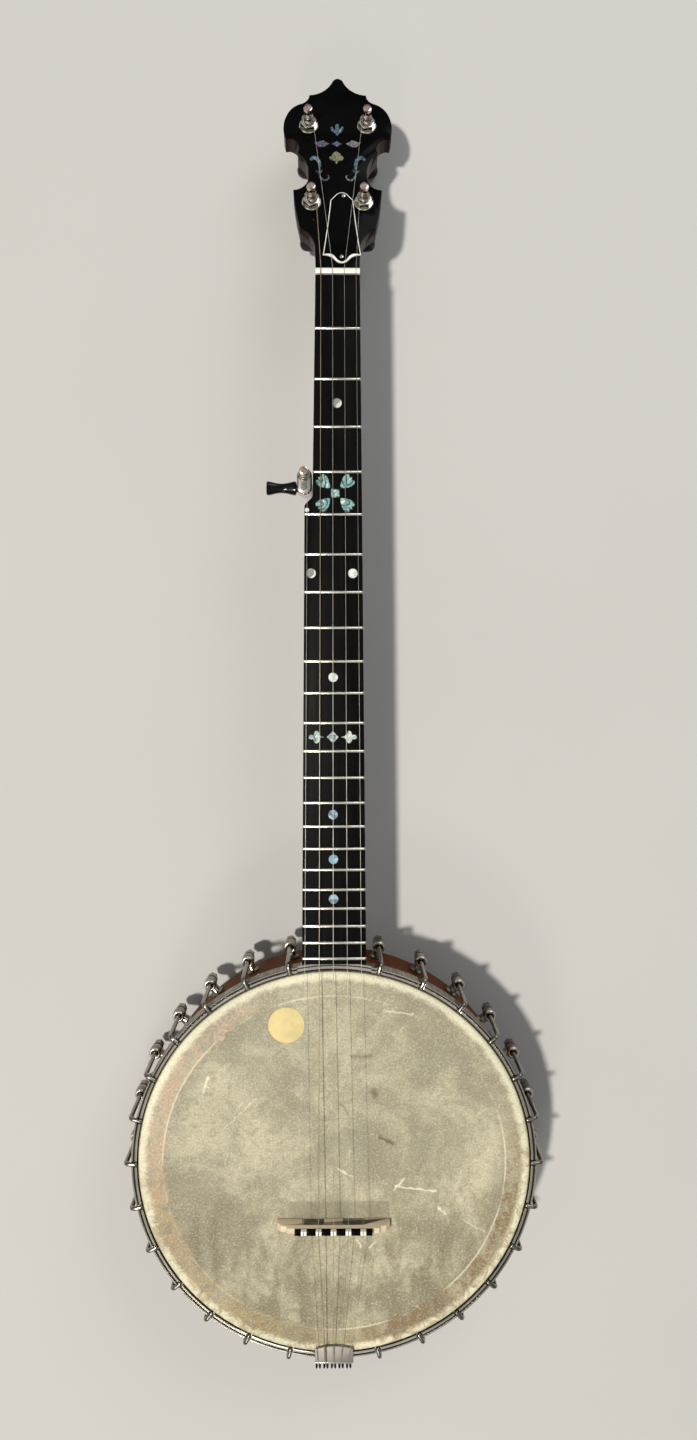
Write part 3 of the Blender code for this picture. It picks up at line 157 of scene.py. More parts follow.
# Pegs
UPPER_PEG = (0.1188, 0.0211)
LOWER_PEG = (0.0543, 0.0186)
PEG_HOLE_RADIUS = 0.0050
POST_RADIUS = 0.0030
POST_WAIST = 0.0025
POST_HEIGHT = 0.0175
POST_DEPTH = 0.012
FIFTH_POST_HEIGHT = 0.0135
CASE_RADIUS = 0.0078
CASE_LENGTH = 0.021
FIFTH_CASE_WIDTH = 0.0107
FIFTH_CASE_LENGTH = 0.0188
FIFTH_CASE_HEIGHT = 0.0115
FIFTH_WORM_OFFSET = 0.0088

# Bridge, tailpiece and strings
BRIDGE_HEIGHT = 0.016
BRIDGE_MIDDLE = -0.0005
BRIDGE_THICKNESS, BRIDGE_TOP_THICKNESS = 0.0068, 0.0030
BRIDGE_STRIP, BRIDGE_TOP_HALF = 0.0038, 0.0275
BRIDGE_STRING_STEP, TAIL_STRING_STEP = 0.0105, 0.0055
BRIDGE_SLOT_DEPTH = 0.0008
TAIL_WIDTH = 0.0276
TAIL_FRONT = 0.0118
TAIL_SHEET = 0.0016
TAIL_RISE = 0.0032
TAIL_BEND = 0.0016
TAIL_LIP = 0.0045
STRAP_WIDTH = 0.011
TAIL_BACK = -(HOOP_OUTER + 2 * GAP + TAIL_SHEET)
# The prongs of each pair lie this far to the left and right of their string
PRONG_REACH = 0.0012
# A prong's steps: how far in from the tailpiece's back, how far below its top, and its radius
PRONG = (
    (0.0006, 0.0028, 0.00070),
    (-0.0010, 0.0030, 0.00080),
    (-0.0028, 0.0033, 0.00080),
    (-0.0042, 0.0037, 0.00075),
    (-0.0050, 0.0036, 0.00045),
)
STRING_RADII = (0.00013, 0.00016, 0.0002, 0.00028, 0.00013)
STRING_TURNS = 3
STRING_PITCH = 0.0011
WINDING_END = 0.0085


def fret_distance(number):
    """How far a fret lies from the nut along the scale."""
    return SCALE_LENGTH * (1 - 2 ** (-number / 12))


def at(x, y, z):
    return Matrix.Translation((x, y, z))


def tilted(degrees, axis):
    return Matrix.Rotation(math.radians(degrees), 4, axis)


def pot_frame():
    """The pot's frame, with its origin at the head's centre, found from the mount on the rim's back."""
    mount = next(item for item in frame["record"]["mounts"] if item["name"] == "rim_back")
    down = Vector(mount["axis"]).normalized()
    turn = Matrix.Rotation(math.atan2(down.y, -down.z), 4, "X")
    place = Vector(mount["pos_m"]) - turn @ Vector((RIM_RADIUS - RIM_WALL / 2, 0, -POT_DEPTH))
    return Matrix.Translation(place) @ turn


NUT_Y = fret_distance(FRETS) + 0.0042
STEP_FRET_Y = NUT_Y - fret_distance(FIFTH_STRING_FRET)
POT = pot_frame()
NECK_IN_POT = at(0, BOARD_START, NECK_RISE) @ tilted(NECK_TILT, "X")
NECK = POT @ NECK_IN_POT
PEGHEAD_Y = NUT_Y + NUT_THICKNESS + 2 * GAP + OVERLAY_THICKNESS * math.sin(PEGHEAD_ANGLE)
PEGHEAD = NECK @ at(NUT_MIDDLE, PEGHEAD_Y, -PEGHEAD_DROP) @ Matrix.Rotation(-PEGHEAD_ANGLE, 4, "X")
BRIDGE_Y = (NECK_IN_POT @ Vector((0, NUT_Y, 0))).y - SCALE_LENGTH - COMPENSATION


def colour_value(name, description, default):
    return FloatVectorProperty(
        name=name, description=description, default=default, subtype="COLOR", size=3, min=0, max=1
    )


def length_value(name, description, default):
    return FloatProperty(name=name, description=description, default=default, unit="LENGTH", min=0)


# Shape helpers


def ring_angles(sides):
    return [2 * math.pi * (i + 0.5) / sides for i in range(sides)]


def arc(centre, radius, start, end, steps):
    """Points on a circle from one angle in degrees to another."""
    angles = [math.radians(start + (end - start) * i / steps) for i in range(steps + 1)]
    return [(centre[0] + radius * math.cos(a), centre[1] + radius * math.sin(a)) for a in angles]


def circle(radius, sides, centre=(0, 0)):
    return arc(centre, radius, 0, 360, sides)[:-1]


def between(low, high, share):
    return low + (high - low) * share


def shade(colour, share):
    return tuple(value * share for value in colour)


def turned(profile, steps):
    """An (r, z) profile spun about Z. A profile that starts and ends on the axis stays open."""
    shape = bmesh.new()
    verts = [shape.verts.new((r, 0, z)) for r, z in profile]
    ends = list(zip(verts, verts[1:]))
    if profile[0][0] > 1e-7:
        ends.append((verts[-1], verts[0]))
    edges = [shape.edges.new(pair) for pair in ends]
    whole = 2 * math.pi
    bmesh.ops.spin(
        shape, geom=verts + edges, axis=(0, 0, 1), cent=(0, 0, 0), angle=whole, steps=steps, use_merge=True
    )
    bmesh.ops.remove_doubles(shape, verts=shape.verts, dist=1e-6)
    return shape


def prism(outline, bottom, top, shape=None):
    """A flat outline in x and y, extruded from one height to another."""
    shape = shape or bmesh.new()
    face = shape.faces.new([shape.verts.new((x, y, bottom)) for x, y in outline])
    grown = bmesh.ops.extrude_face_region(shape, geom=[face])
    risen = [item for item in grown["geom"] if isinstance(item, bmesh.types.BMVert)]
    bmesh.ops.translate(shape, verts=risen, vec=(0, 0, top - bottom))
    return shape


def box(x0, x1, y0, y1, z0, z1, shape=None):
    return prism([(x0, y0), (x1, y0), (x1, y1), (x0, y1)], z0, z1, shape)


def lofted(sections):
    """Closed rings of points bridged one to the next, and capped at both ends."""
    shape = bmesh.new()
    rings = []
    for section in sections:
        verts = [shape.verts.new(point) for point in section]
        rings.append([shape.edges.new((verts[i - 1], verts[i])) for i in range(len(verts))])
    for one, other in zip(rings, rings[1:]):
        bmesh.ops.bridge_loops(shape, edges=one + other)
    for ring in (rings[0], rings[-1]):
        bmesh.ops.contextual_create(shape, geom=ring)
    return shape


def swept(path, radius, sides):
    """A round rod along a path of points. The radius is one number, or one for each point."""
    path = [Vector(point) for point in path]
    radii = radius if isinstance(radius, list) else [radius] * len(path)
    sections, normal = [], None
    for i, point in enumerate(path):
        heading = (path[min(i + 1, len(path) - 1)] - path[max(i - 1, 0)]).normalized()
        if normal is None:
            normal = heading.orthogonal().normalized()
        normal = (normal - heading * normal.dot(heading)).normalized()
        side = heading.cross(normal)
        ring = [(math.cos(a) * radii[i], math.sin(a) * radii[i]) for a in ring_angles(sides)]
        sections.append([point + normal * u + side * v for u, v in ring])
    return lofted(sections)


def smooth_path(points, steps):
    """A smooth curve through the points, with so many steps between each two."""
    points = [Vector(point) for point in points]
    made = []
    for i in range(len(points) - 1):
        p1, p2 = points[i], points[i + 1]
        p0 = points[i - 1] if i else p1 * 2 - p2
        p3 = points[i + 2] if i + 2 < len(points) else p2 * 2 - p1
        bend, twist = p0 * 2 - p1 * 5 + p2 * 4 - p3, p1 * 3 - p0 - p2 * 3 + p3
        for t in (k / steps for k in range(steps)):
            made.append((p1 * 2 + (p2 - p0) * t + bend * t**2 + twist * t**3) / 2)
    return made + [points[-1]]


def moved(shape, frame):
    bmesh.ops.transform(shape, matrix=frame, verts=shape.verts)
    if frame.to_3x3().determinant() < 0:
        bmesh.ops.reverse_faces(shape, faces=shape.faces)
    return shape


def added(shape, *others):
    """The shape with the others' geometry in it. The others are freed."""
    for other in others:
        mesh = bpy.data.meshes.new("joined")
        other.to_mesh(mesh)
        other.free()
        shape.from_mesh(mesh)
        bpy.data.meshes.remove(mesh)
    return shape


def rounded(shape, width, segments=2, sharper_than=30):
    """Bevels the edges that turn by more than the angle in degrees."""
    bmesh.ops.recalc_face_normals(shape, faces=shape.faces)
    limit = math.radians(sharper_than)
    edges = [edge for edge in shape.edges if len(edge.link_faces) == 2 and edge.calc_face_angle(0) > limit]
    bmesh.ops.bevel(
        shape, geom=edges, offset=width, affect="EDGES", segments=segments, profile=0.5, material=-1,
        clamp_overlap=True,
    )
    return shape


def carved(shape, *cutters):
    """The shape cut by others with an exact Boolean."""
    helpers = []
    for one in (shape, *cutters):
        bmesh.ops.recalc_face_normals(one, faces=one.faces)
        mesh = bpy.data.meshes.new("carving")
        one.to_mesh(mesh)
        one.free()
        helpers.append(bpy.data.objects.new("carving", mesh))
        bpy.context.scene.collection.objects.link(helpers[-1])
    for cutter in helpers[1:]:
        boolean = helpers[0].modifiers.new("carve", "BOOLEAN")
        boolean.operation, boolean.solver, boolean.object = "DIFFERENCE", "EXACT", cutter
    bpy.context.view_layer.update()
    made = bmesh.new()
    made.from_object(helpers[0], bpy.context.evaluated_depsgraph_get())
    for helper in helpers:
        mesh = helper.data
        bpy.data.objects.remove(helper)
        bpy.data.meshes.remove(mesh)
    return made


def across_x(shape):
    """Turns a shape drawn in y and z and extruded along Z, so that it is extruded across x."""
    return moved(shape, Matrix(((0, 0, 1, 0), (1, 0, 0, 0), (0, 1, 0, 0), (0, 0, 0, 1))))


def along_y(shape):
    """Turns a shape made along Z so that it lies along Y."""
    return moved(shape, tilted(-90, "X"))


def oval(half_x, half_y, z, sides, power):
    """A rounded rectangle as a superellipse."""
    points = []
    for a in ring_angles(sides):
        x = math.copysign(abs(math.cos(a)) ** (2 / power), math.cos(a))
        y = math.copysign(abs(math.sin(a)) ** (2 / power), math.sin(a))
        points.append(Vector((half_x * x, half_y * y, z)))
    return points


def piece(name, shape, finish, place=None, body="root", stands_for=None, sharp=35):
    """A finished piece: its place goes into its mesh, and it rides on a body of the frame."""
    if place:
        moved(shape, place)
    bmesh.ops.recalc_face_normals(shape, faces=shape.faces)
    mesh = bpy.data.meshes.new(name)
    shape.to_mesh(mesh)
    shape.free()
    mesh.shade_smooth()
    mesh.set_sharp_from_angle(angle=math.radians(sharp))
    obj = bpy.data.objects.new(name, mesh)
    bpy.context.scene.collection.objects.link(obj)
    obj.data.materials.append(bpy.data.materials[finish])
    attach(obj, body)
    if stands_for:
        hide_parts(stands_for)


def from_node(node, within=1e-6):
    """A merged copy of a node's mesh, as a shape."""
    shape = bmesh.new()
    shape.from_mesh(frame["nodes"][node].data)
    bmesh.ops.remove_doubles(shape, verts=shape.verts, dist=within)
    return shape


# Finishes


class Nodes:
    """A node tree, filled in a line at a time."""

    def __init__(self, tree):
        self.tree = tree

    def add(self, kind, inputs=None, **settings):
        node = self.tree.nodes.new(kind)
        for key, value in settings.items():
            setattr(node, key, value)
        for key, value in (inputs or {}).items():
            self.feed(node.inputs[key], value)
        return node

    def feed(self, socket, value):
        if isinstance(value, bpy.types.NodeSocket):
            self.tree.links.new(value, socket)
        elif socket.type == "RGBA" and len(value) == 3:
            socket.default_value = (*value, 1)
        else:
            socket.default_value = value

    def math(self, operation, one, other=0.0, clamp=False):
        return self.add("ShaderNodeMath", {0: one, 1: other}, operation=operation, use_clamp=clamp).outputs[0]

    def times(self, one, other):
        return self.math("MULTIPLY", one, other)

    def vector(self, operation, one, other=(0, 0, 0), scale=1.0, output="Vector"):
        node = self.add("ShaderNodeVectorMath", {0: one, 1: other}, operation=operation)
        self.feed(node.inputs[3], scale)
        return node.outputs[output]

    def parts(self, vector):
        return self.add("ShaderNodeSeparateXYZ", {0: vector}).outputs

    def joined(self, x, y, z):
        return self.add("ShaderNodeCombineXYZ", {0: x, 1: y, 2: z}).outputs[0]

    def share(self, value, low, high, to_low=0.0, to_high=1.0):
        """A smooth step of the value from low to high."""
        inputs = {"Value": value, "From Min": low, "From Max": high, "To Min": to_low, "To Max": to_high}
        return self.add("ShaderNodeMapRange", inputs, interpolation_type="SMOOTHSTEP").outputs[0]


class Finish(Nodes):
    """A material. Its place is in metres, in the frame that it is given."""

    def __init__(self, name, sockets, place=None):
        made = bpy.data.materials.new(name)
        made.use_nodes = True
        super().__init__(made.node_tree)
        self.shader = self.tree.nodes["Principled BSDF"]
        for key, value in sockets.items():
            self.feed(self.shader.inputs[key], value)
        self.place = self.add("ShaderNodeTexCoord").outputs["Object"]
        if place:
            back = place.inverted()
            self.place = self.mapped(location=back.translation, rotation=back.to_euler())

    def mapped(self, location=(0, 0, 0), rotation=(0, 0, 0), scale=(1, 1, 1), vector=None):
        inputs = {"Vector": vector or self.place, "Location": location, "Rotation": rotation, "Scale": scale}
        return self.add("ShaderNodeMapping", inputs).outputs[0]

    def noise(self, scale, detail=3.0, roughness=0.5, distortion=0.0, vector=None):
        inputs = {"Vector": vector or self.place, "Scale": scale, "Detail": detail}
        inputs |= {"Roughness": roughness, "Distortion": distortion}
        return self.add("ShaderNodeTexNoise", inputs).outputs["Fac"]

    def ramp(self, factor, stops):
        """Colours or greys at positions from 0 to 1."""
        node = self.add("ShaderNodeValToRGB", {"Fac": factor})
        line = node.color_ramp
        while len(line.elements) < len(stops):
            line.elements.new(0.5)
        for element, (position, value) in zip(line.elements, stops):
            element.position = position
            element.color = (*((value,) * 3 if isinstance(value, (int, float)) else value), 1)
        return node.outputs["Color"]

    def mix(self, factor, one, other):
        node = self.add("ShaderNodeMix", data_type="RGBA")
        for index, value in ((0, factor), (6, one), (7, other)):
            self.feed(node.inputs[index], value)
        return node.outputs[2]

    def round_rim(self, parts):
        """How far round the rim a place lies, in metres."""
        return self.times(self.math("ARCTAN2", parts["X"], parts["Y"]), RIM_RADIUS)

    def flat(self):
        """The place with no height, and its distance from the middle."""
        across = self.vector("MULTIPLY", self.place, (1, 1, 0))
        return across, self.vector("LENGTH", across, output="Value")

    def over(self, tone, amount, depth, colour):
        """The tone with a colour over it, as strong as the amount times the depth."""
        return self.mix(self.times(amount, depth), tone, colour)

    def near_line(self, across, start, end, width):
        """1 on the line from start to end, falling to 0 at the width."""
        run = Vector((*end, 0)) - Vector((*start, 0))
        off = self.vector("SUBTRACT", across, (*start, 0))
        along = self.vector("DOT_PRODUCT", off, tuple(run / run.length_squared), output="Value")
        along = self.math("ADD", along, 0.0, clamp=True)
        nearest = self.vector("SCALE", tuple(run), scale=along)
        far = self.vector("DISTANCE", off, nearest, output="Value")
        return self.share(far, 0.0, width, 1.0, 0.0)

    def bump(self, height, strength, distance):
        inputs = {"Height": height, "Strength": strength, "Distance": distance}
        normal = self.shader.inputs["Normal"]
        if normal.links:
            inputs["Normal"] = normal.links[0].from_socket
        self.feed(normal, self.add("ShaderNodeBump", inputs).outputs[0])

    def done(self, colour, roughness):
        self.feed(self.shader.inputs["Base Color"], colour)
        self.feed(self.shader.inputs["Roughness"], roughness)


def metal(name, colour, low, high, tarnish):
    """Plated or plain metal: smooth, with cloudy gloss and darker tarnish in patches."""
    made = Finish(name, {"Metallic": 1.0})
    cloud = made.noise(36.0, 5.0, 0.65)
    gloss = made.ramp(made.noise(90.0, 4.0, 0.6), [(0.32, low), (0.68, high)])
    made.done(made.ramp(cloud, [(0.34, shade(colour, tarnish)), (0.60, colour)]), gloss)


def hoop_plate(colour):
    """The hoop's plate: bright on its lips, with painted shade in its groove, and a painted reflection on its
    wall that is greyer with upright streaks.
    """
    made = Finish("hoop_nickel", {"Metallic": 1.0}, POT)
    far = made.flat()[1]
    parts = made.parts(made.place)
    # upright streaks round the wall, used for the wall's painted reflection
    marks = made.noise(
        900.0, 2.0, 0.5, 0.0, made.joined(made.round_rim(parts), 0.0, made.times(parts["Z"], 0.05))
    )
    # the groove between the lips, which gets painted shade
    groove_start = made.share(far, HOOP_INNER + 0.0017, HOOP_INNER + 0.0020)
    groove = made.times(groove_start, made.share(far, HOOP_OUTER - 0.0011, HOOP_OUTER - 0.0014))
    wall = made.share(far, HOOP_OUTER - 0.00014, HOOP_OUTER - 0.00006)
    lips = made.mix(made.share(made.noise(40.0, 4.0), 0.35, 0.65), shade(colour, 0.8), colour)
    # the wall: a painted reflection, grey with darker upright streaks
    sides = made.mix(made.share(marks, 0.40, 0.60), (0.115, 0.105, 0.080), (0.30, 0.28, 0.225))
    tone = made.mix(wall, made.mix(groove, lips, (0.09, 0.082, 0.06)), sides)
    made.done(tone, made.mix(wall, (0.16, 0.16, 0.16), (0.34, 0.34, 0.34)))


def wood(name, light, dark, place, gloss, along, gleam, round_pot=False, stained=False, pored=0.5):
    """Grain along local Y or round the pot, with pores and slow changes of tone, stained at the peghead."""
    made = Finish(name, {"Specular IOR Level": gleam}, place)
    where = made.place
    parts = made.parts(where)
    if round_pot:
        where = made.joined(made.flat()[1], made.round_rim(parts), parts["Z"])
    grain = made.mapped(scale=along, vector=where)
    bands = made.noise(170.0, 5.0, 0.6, 0.6, grain)
    slow = made.noise(18.0, 3.0, 0.5, 0.0, where)
    tone = made.mix(made.share(bands, 0.35, 0.66), dark, light)
    tone = made.mix(made.share(slow, 0.35, 0.7, 0.0, 0.45), tone, dark)
    pores = made.noise(900.0, 2.0, 0.5, 0.0, grain)
    tone = made.mix(made.share(pores, 0.56, 0.7, 0.0, pored), tone, shade(dark, 0.4))
    if stained:
        stain_and_shade = made.share(parts["Y"], NUT_Y + 0.004, NUT_Y + 0.030, 0.0, 0.85)
        tone = made.mix(stain_and_shade, tone, (0.009, 0.0035, 0.0015))
    made.done(tone, made.ramp(bands, [(0.3, gloss), (0.7, gloss + 0.14)]))
    made.bump(bands, 0.10, 0.0004)
    made.bump(pores, 0.08, 0.0002)


def ebony():
    made = Finish("fingerboard_ebony", {"Specular IOR Level": 0.04}, NECK)
    grain = made.mapped(scale=(1.0, 0.035, 1.0))
    bands = made.noise(330.0, 5.0, 0.65, 0.3, grain)
    tones = [(0.35, (0.0018, 0.0018, 0.0016)), (0.6, (0.0042, 0.0040, 0.0034)), (0.75, (0.013, 0.010, 0.007))]
    tone = made.ramp(bands, tones)
    worn = made.share(made.noise(46.0, 3.0), 0.5, 0.75, 0.0, 0.35)
    made.done(made.mix(worn, tone, (0.008, 0.0075, 0.0065)), made.ramp(bands, [(0.3, 0.36), (0.7, 0.54)]))
    made.bump(made.noise(1500.0, 2.0, 0.5, 0.0, grain), 0.10, 0.0002)


def black_gloss(name, place, gleam):
    """Black lacquer or moulded black: nearly flat, with faint fine scratches in its gloss."""
    made = Finish(name, {"Specular IOR Level": gleam}, place)
    marks = made.noise(500.0, 3.0, 0.6, 0.0, made.mapped(scale=(1.0, 0.15, 1.0)))
    cloud = made.noise(30.0, 3.0)
    made.done(
        made.ramp(cloud, [(0.3, 0.0012), (0.7, 0.0028)]), made.ramp(marks, [(0.35, 0.10), (0.75, 0.24)])
    )
    made.bump(marks, 0.02, 0.0002)


def pearl(name, tints, scale, lines):
    """Shell inlay: drifts of shifting tints with fine dark growth lines, under a clear polish."""
    made = Finish(name, {"Coat Weight": 0.4, "Coat Roughness": 0.05})
    drift = made.noise(scale, 3.0, 0.55, 0.8)
    count = len(tints) - 1
    tone = made.ramp(drift, [(0.34 + 0.32 * i / count, tint) for i, tint in enumerate(tints)])
    growth = made.noise(scale * 0.4, 1.0, 0.4, 0.8)
    wave = made.math("SINE", made.times(growth, lines * 2))
    tone = made.mix(made.share(wave, 0.20, 0.80, 0.0, 0.85), tone, shade(tints[0], 0.22))
    made.done(tone, made.ramp(drift, [(0.3, 0.12), (0.7, 0.28)]))
    made.bump(wave, 0.03, 0.0002)


def pale(name, colour, warm, scale, roughness):
    """Bone or paper: a pale ground with warmer clouds and fine pores."""
    made = Finish(name, {})
    cloud = made.noise(scale, 4.0, 0.6)
    fine = made.noise(scale * 9, 2.0)
    tone = made.mix(made.share(cloud, 0.35, 0.72, 0.0, 0.8), colour, warm)
    made.done(tone, made.ramp(fine, [(0.3, roughness), (0.7, roughness + 0.15)]))
    made.bump(fine, 0.06, 0.0002)


# The skin's tone where it is damp, and how far from its centre a pale line lies that an older mount left
DAMP_TONE = (0.210, 0.172, 0.095)
OLD_MOUNT_LINE = 0.1226

# The painted shadow of the bridge on the head beside it: an axis, and where the shadow starts and is full
# along it
BRIDGE_SHADE = (("X", -0.040, -0.028), ("X", 0.0405, 0.0385), ("Y", -0.0262, -0.0282), ("Y", -0.046, -0.044))

# Marks on the head, in metres from its centre: where each starts and ends, its width and its strength
SPOTS = (
    ((0.0280, 0.0525), (0.0290, 0.0510), 0.0042, 0.75),
    ((0.0325, 0.0200), (0.0420, 0.0150), 0.0024, 0.75),
    ((0.0130, 0.0790), (0.0260, 0.0785), 0.0022, 0.45),
    ((0.0050, 0.0440), (0.0115, 0.0340), 0.0016, 0.35),
)
SCRATCHES = (
    ((-0.0895, 0.0640), (-0.0935, 0.0530), 0.0017, 0.9),
    ((-0.0965, 0.0582), (-0.0890, 0.0562), 0.0012, 0.7),
    ((-0.0935, 0.0530), (-0.0962, 0.0440), 0.0008, 0.5),
    ((0.0030, -0.0035), (0.0125, -0.0085), 0.0014, 0.9),
    ((0.0080, -0.0010), (0.0110, 0.0100), 0.0012, 0.7),
    ((0.0440, -0.0165), (0.0730, -0.0200), 0.0012, 0.9),
    ((0.0500, -0.0110), (0.0430, -0.0190), 0.0012, 0.8),
    ((0.0750, -0.0320), (0.0800, -0.0370), 0.0014, 0.9),
    ((0.0350, 0.1120), (0.0560, 0.1090), 0.0012, 0.6),
    ((0.0160, -0.0560), (0.0190, -0.0610), 0.0013, 0.8),
    ((0.0290, -0.0580), (0.0250, -0.0620), 0.0012, 0.7),
    ((-0.0560, 0.0480), (-0.0790, 0.0260), 0.0008, 0.4),
    ((0.0930, -0.0420), (0.1080, -0.0500), 0.0008, 0.5),
)


def calfskin(aged, tan, cream):
    """The head's skin: mottled, fibrous and marked, tan round its rim, cream where it turns over the edge,
    with painted shade in the fold by the hoop and the bridge's painted shadow.
    """
    made = Finish("calfskin", {"Specular IOR Level": 0.3}, POT)
    across, far = made.flat()
    parts = made.parts(across)
    # the middle: clouds, leathery mottling, a fine grain, and upright streaks, darker in the lower part
    cloud = made.noise(15.0, 9.0, 0.62, 0.6)
    mottle = made.noise(75.0, 7.0, 0.72, 1.5)
    grain = made.noise(700.0, 3.0, 0.75)
    drawn = made.noise(58.0, 5.0, 0.62, 0.5, made.mapped(scale=(1.0, 0.34, 1.0)))
    tone = made.mix(made.share(cloud, 0.36, 0.66), shade(aged, 0.68), shade(aged, 1.22))
    tone = made.mix(made.share(mottle, 0.56, 0.36, 0.0, 0.55), tone, shade((0.515, 0.452, 0.322), 0.58))
    lower = made.share(parts["Y"], 0.020, -0.080, 0.10, 1.0)
    damp = made.times(made.share(drawn, 0.46, 0.64), lower)
    tone = made.over(tone, damp, 0.74, DAMP_TONE)
    damp = made.times(made.share(cloud, 0.50, 0.40), lower)
    tone = made.over(tone, damp, 0.42, DAMP_TONE)
    # the ring outside the pale line left by an older mount, and the shade just inside it
    wander = made.times(made.math("SUBTRACT", mottle, 0.5), 0.022)
    ring = made.math("ADD", far, wander)
    left = toward(made, across, (-0.97, 0.10), 0.045, 0.100)
    low_right = toward(made, across, (0.80, -0.60), 0.070, 0.118)
    low_left = toward(made, across, (-0.60, -0.80), 0.060, 0.118)
    inside = made.times(made.share(far, 0.108, 0.1222), made.share(far, 0.1232, OLD_MOUNT_LINE))
    inside = made.times(inside, made.math("MAXIMUM", left, low_right))
    tone = made.over(tone, inside, 0.40, shade(aged, 0.45))
    band = made.share(ring, 0.1200, 0.1262)
    patches = made.share(mottle, 0.42, 0.58, 0.12, 1.0)
    tone = made.over(tone, band, made.times(patches, 0.14), tan)
    for side, colour, depth in (
        (left, (0.58, 0.395, 0.265), 0.85),
        (low_left, (0.40, 0.300, 0.135), 0.75),
        (low_right, (0.22, 0.135, 0.050), 0.85),
    ):
        amount = made.times(made.times(band, patches), side)
        tone = made.over(tone, amount, depth, colour)
    off = made.math("ADD", far, made.times(wander, 0.05))
    off = made.math("ABSOLUTE", made.math("SUBTRACT", off, OLD_MOUNT_LINE))
    ridge = made.times(made.share(off, 0.0002, 0.0009, 1.0, 0.0), made.share(cloud, 0.40, 0.58))
    tone = made.over(tone, ridge, 0.60, cream)
    # the pale band over the tone ring, and painted shade in the fold where the skin turns down beside the
    # hoop
    edge = made.share(made.math("ADD", far, made.times(wander, 0.40)), 0.1322, 0.1368)
    worn = made.times(made.share(mottle, 0.56, 0.40), made.math("MAXIMUM", low_left, low_right))
    pale_edge = made.mix(made.share(cloud, 0.35, 0.65), shade(cream, 0.82), cream)
    pale_edge = made.over(pale_edge, worn, 0.75, (0.40, 0.29, 0.14))
    tone = made.mix(edge, tone, pale_edge)
    tone = made.mix(made.share(far, 0.1393, 0.1403, 0.0, 0.90), tone, (0.040, 0.034, 0.012))
    # pale creases here and there, and the grain over all of it
    crease = made.math("ABSOLUTE", made.math("SUBTRACT", made.noise(24.0, 4.0, 0.6, 1.0), 0.5))
    crease = made.times(made.share(crease, 0.0, 0.010, 1.0, 0.0), made.share(mottle, 0.48, 0.62))
    tone = made.over(tone, crease, 0.40, (0.86, 0.80, 0.60))
    tone = made.mix(made.share(grain, 0.46, 0.64, 0.0, 0.50), tone, made.mix(0.5, tone, (0.15, 0.13, 0.08)))
    tone = made.mix(made.share(grain, 0.50, 0.33, 0.0, 0.34), tone, (0.84, 0.79, 0.62))
    # the bridge's painted shadow beside it, brown spots, and pale scratches
    ragged = made.vector("ADD", across, made.vector("MULTIPLY", bent_by(made), (0.004, 0.004, 0.0)))
    stain_and_shade = made.share(mottle, 0.38, 0.60, 0.25, 0.62)
    for axis, out, within in BRIDGE_SHADE:
        stain_and_shade = made.times(made.share(parts[axis], out, within), stain_and_shade)
    tone = made.mix(stain_and_shade, tone, shade(aged, 0.36))
    for start, end, width, depth in SPOTS:
        tone = made.over(tone, made.near_line(ragged, start, end, width), depth, (0.15, 0.09, 0.035))
    broken = made.share(drawn, 0.36, 0.48)
    for start, end, width, depth in SCRATCHES:
        mark = made.times(made.near_line(ragged, start, end, width), depth)
        tone = made.over(tone, mark, broken, (0.90, 0.84, 0.64))
    made.done(tone, made.ramp(cloud, [(0.3, 0.46), (0.7, 0.62)]))
    made.bump(grain, 0.12, 0.0003)
    made.bump(mottle, 0.12, 0.0008)


def toward(made, across, heading, start, full):
    """How far a place lies toward one side of the head, from 0 to 1."""
    return made.share(made.vector("DOT_PRODUCT", across, (*heading, 0.0), output="Value"), start, full)


def bent_by(made):
    """A vector of noise from -0.5 to 0.5, which makes a drawn line ragged."""
    node = made.add("ShaderNodeTexNoise", {"Vector": made.place, "Scale": 260.0, "Detail": 3.0})
    return made.vector("SUBTRACT", node.outputs["Color"], (0.5, 0.5, 0.5))


def floor_finish(colour):
    made = Finish("pale_floor", {"Specular IOR Level": 0.2})
    made.done(made.ramp(made.noise(3.0, 3.0), [(0.3, shade(colour, 0.97)), (0.7, colour)]), 0.8)


class BanjoColours(bpy.types.PropertyGroup):
    """The colours of the main finishes."""

    rim_wood: colour_value("Rim wood", "The light tone of the laminated rim", (0.205, 0.056, 0.010))
    neck_wood: colour_value("Neck wood", "The light tone of the neck", (0.085, 0.028, 0.012))
    skin: colour_value("Head", "The middle of the aged skin", (0.515, 0.468, 0.318))
    skin_tan: colour_value("Head's tan ring", "The ring inside the head's edge", (0.50, 0.385, 0.225))
    skin_edge: colour_value("Head's edge", "The band over the tone ring", (0.92, 0.865, 0.62))
    nickel: colour_value("Nickel plate", "The plated pieces", (0.72, 0.67, 0.58))
    maple: colour_value("Bridge", "The bridge's maple", (0.86, 0.71, 0.50))
    disc: colour_value("Disc", "The plain paper disc on the head", (0.84, 0.68, 0.31))
    floor: colour_value("Floor", "The plain floor", (0.62, 0.605, 0.58))


class BanjoSizes(bpy.types.PropertyGroup):
    """Sizes of the visible details."""

    round_steps: IntProperty(
        name="Steps round the pot", description="Faces round each ring", default=224, min=56
    )
    groove_depth: length_value("Hoop groove", "Depth of the groove in the hoop's top", 0.0011)
    disc_radius: length_value("Disc radius", "Radius of the plain disc on the head", 0.0128)
    fret_width: length_value("Fret width", "Width of a fret's crown", 0.0022)
    fret_height: length_value("Fret height", "Height of a fret's crown", 0.0011)
    dot_radius: length_value("Dot radius", "Radius of the round fingerboard inlays", 0.0033)
    cover_edge: length_value("Cover's edge", "White edge left round the truss rod cover's face", 0.0006)
    insert_width: length_value("Insert width", "Width of the bridge's inserts", 0.0041)


# The camera's place in metres and its turn in radians
CAMERA_PLACE = (0.00075, 0.0119, 0.87958)
CAMERA_TURN = (-0.01603, -0.01142, 0.00073)


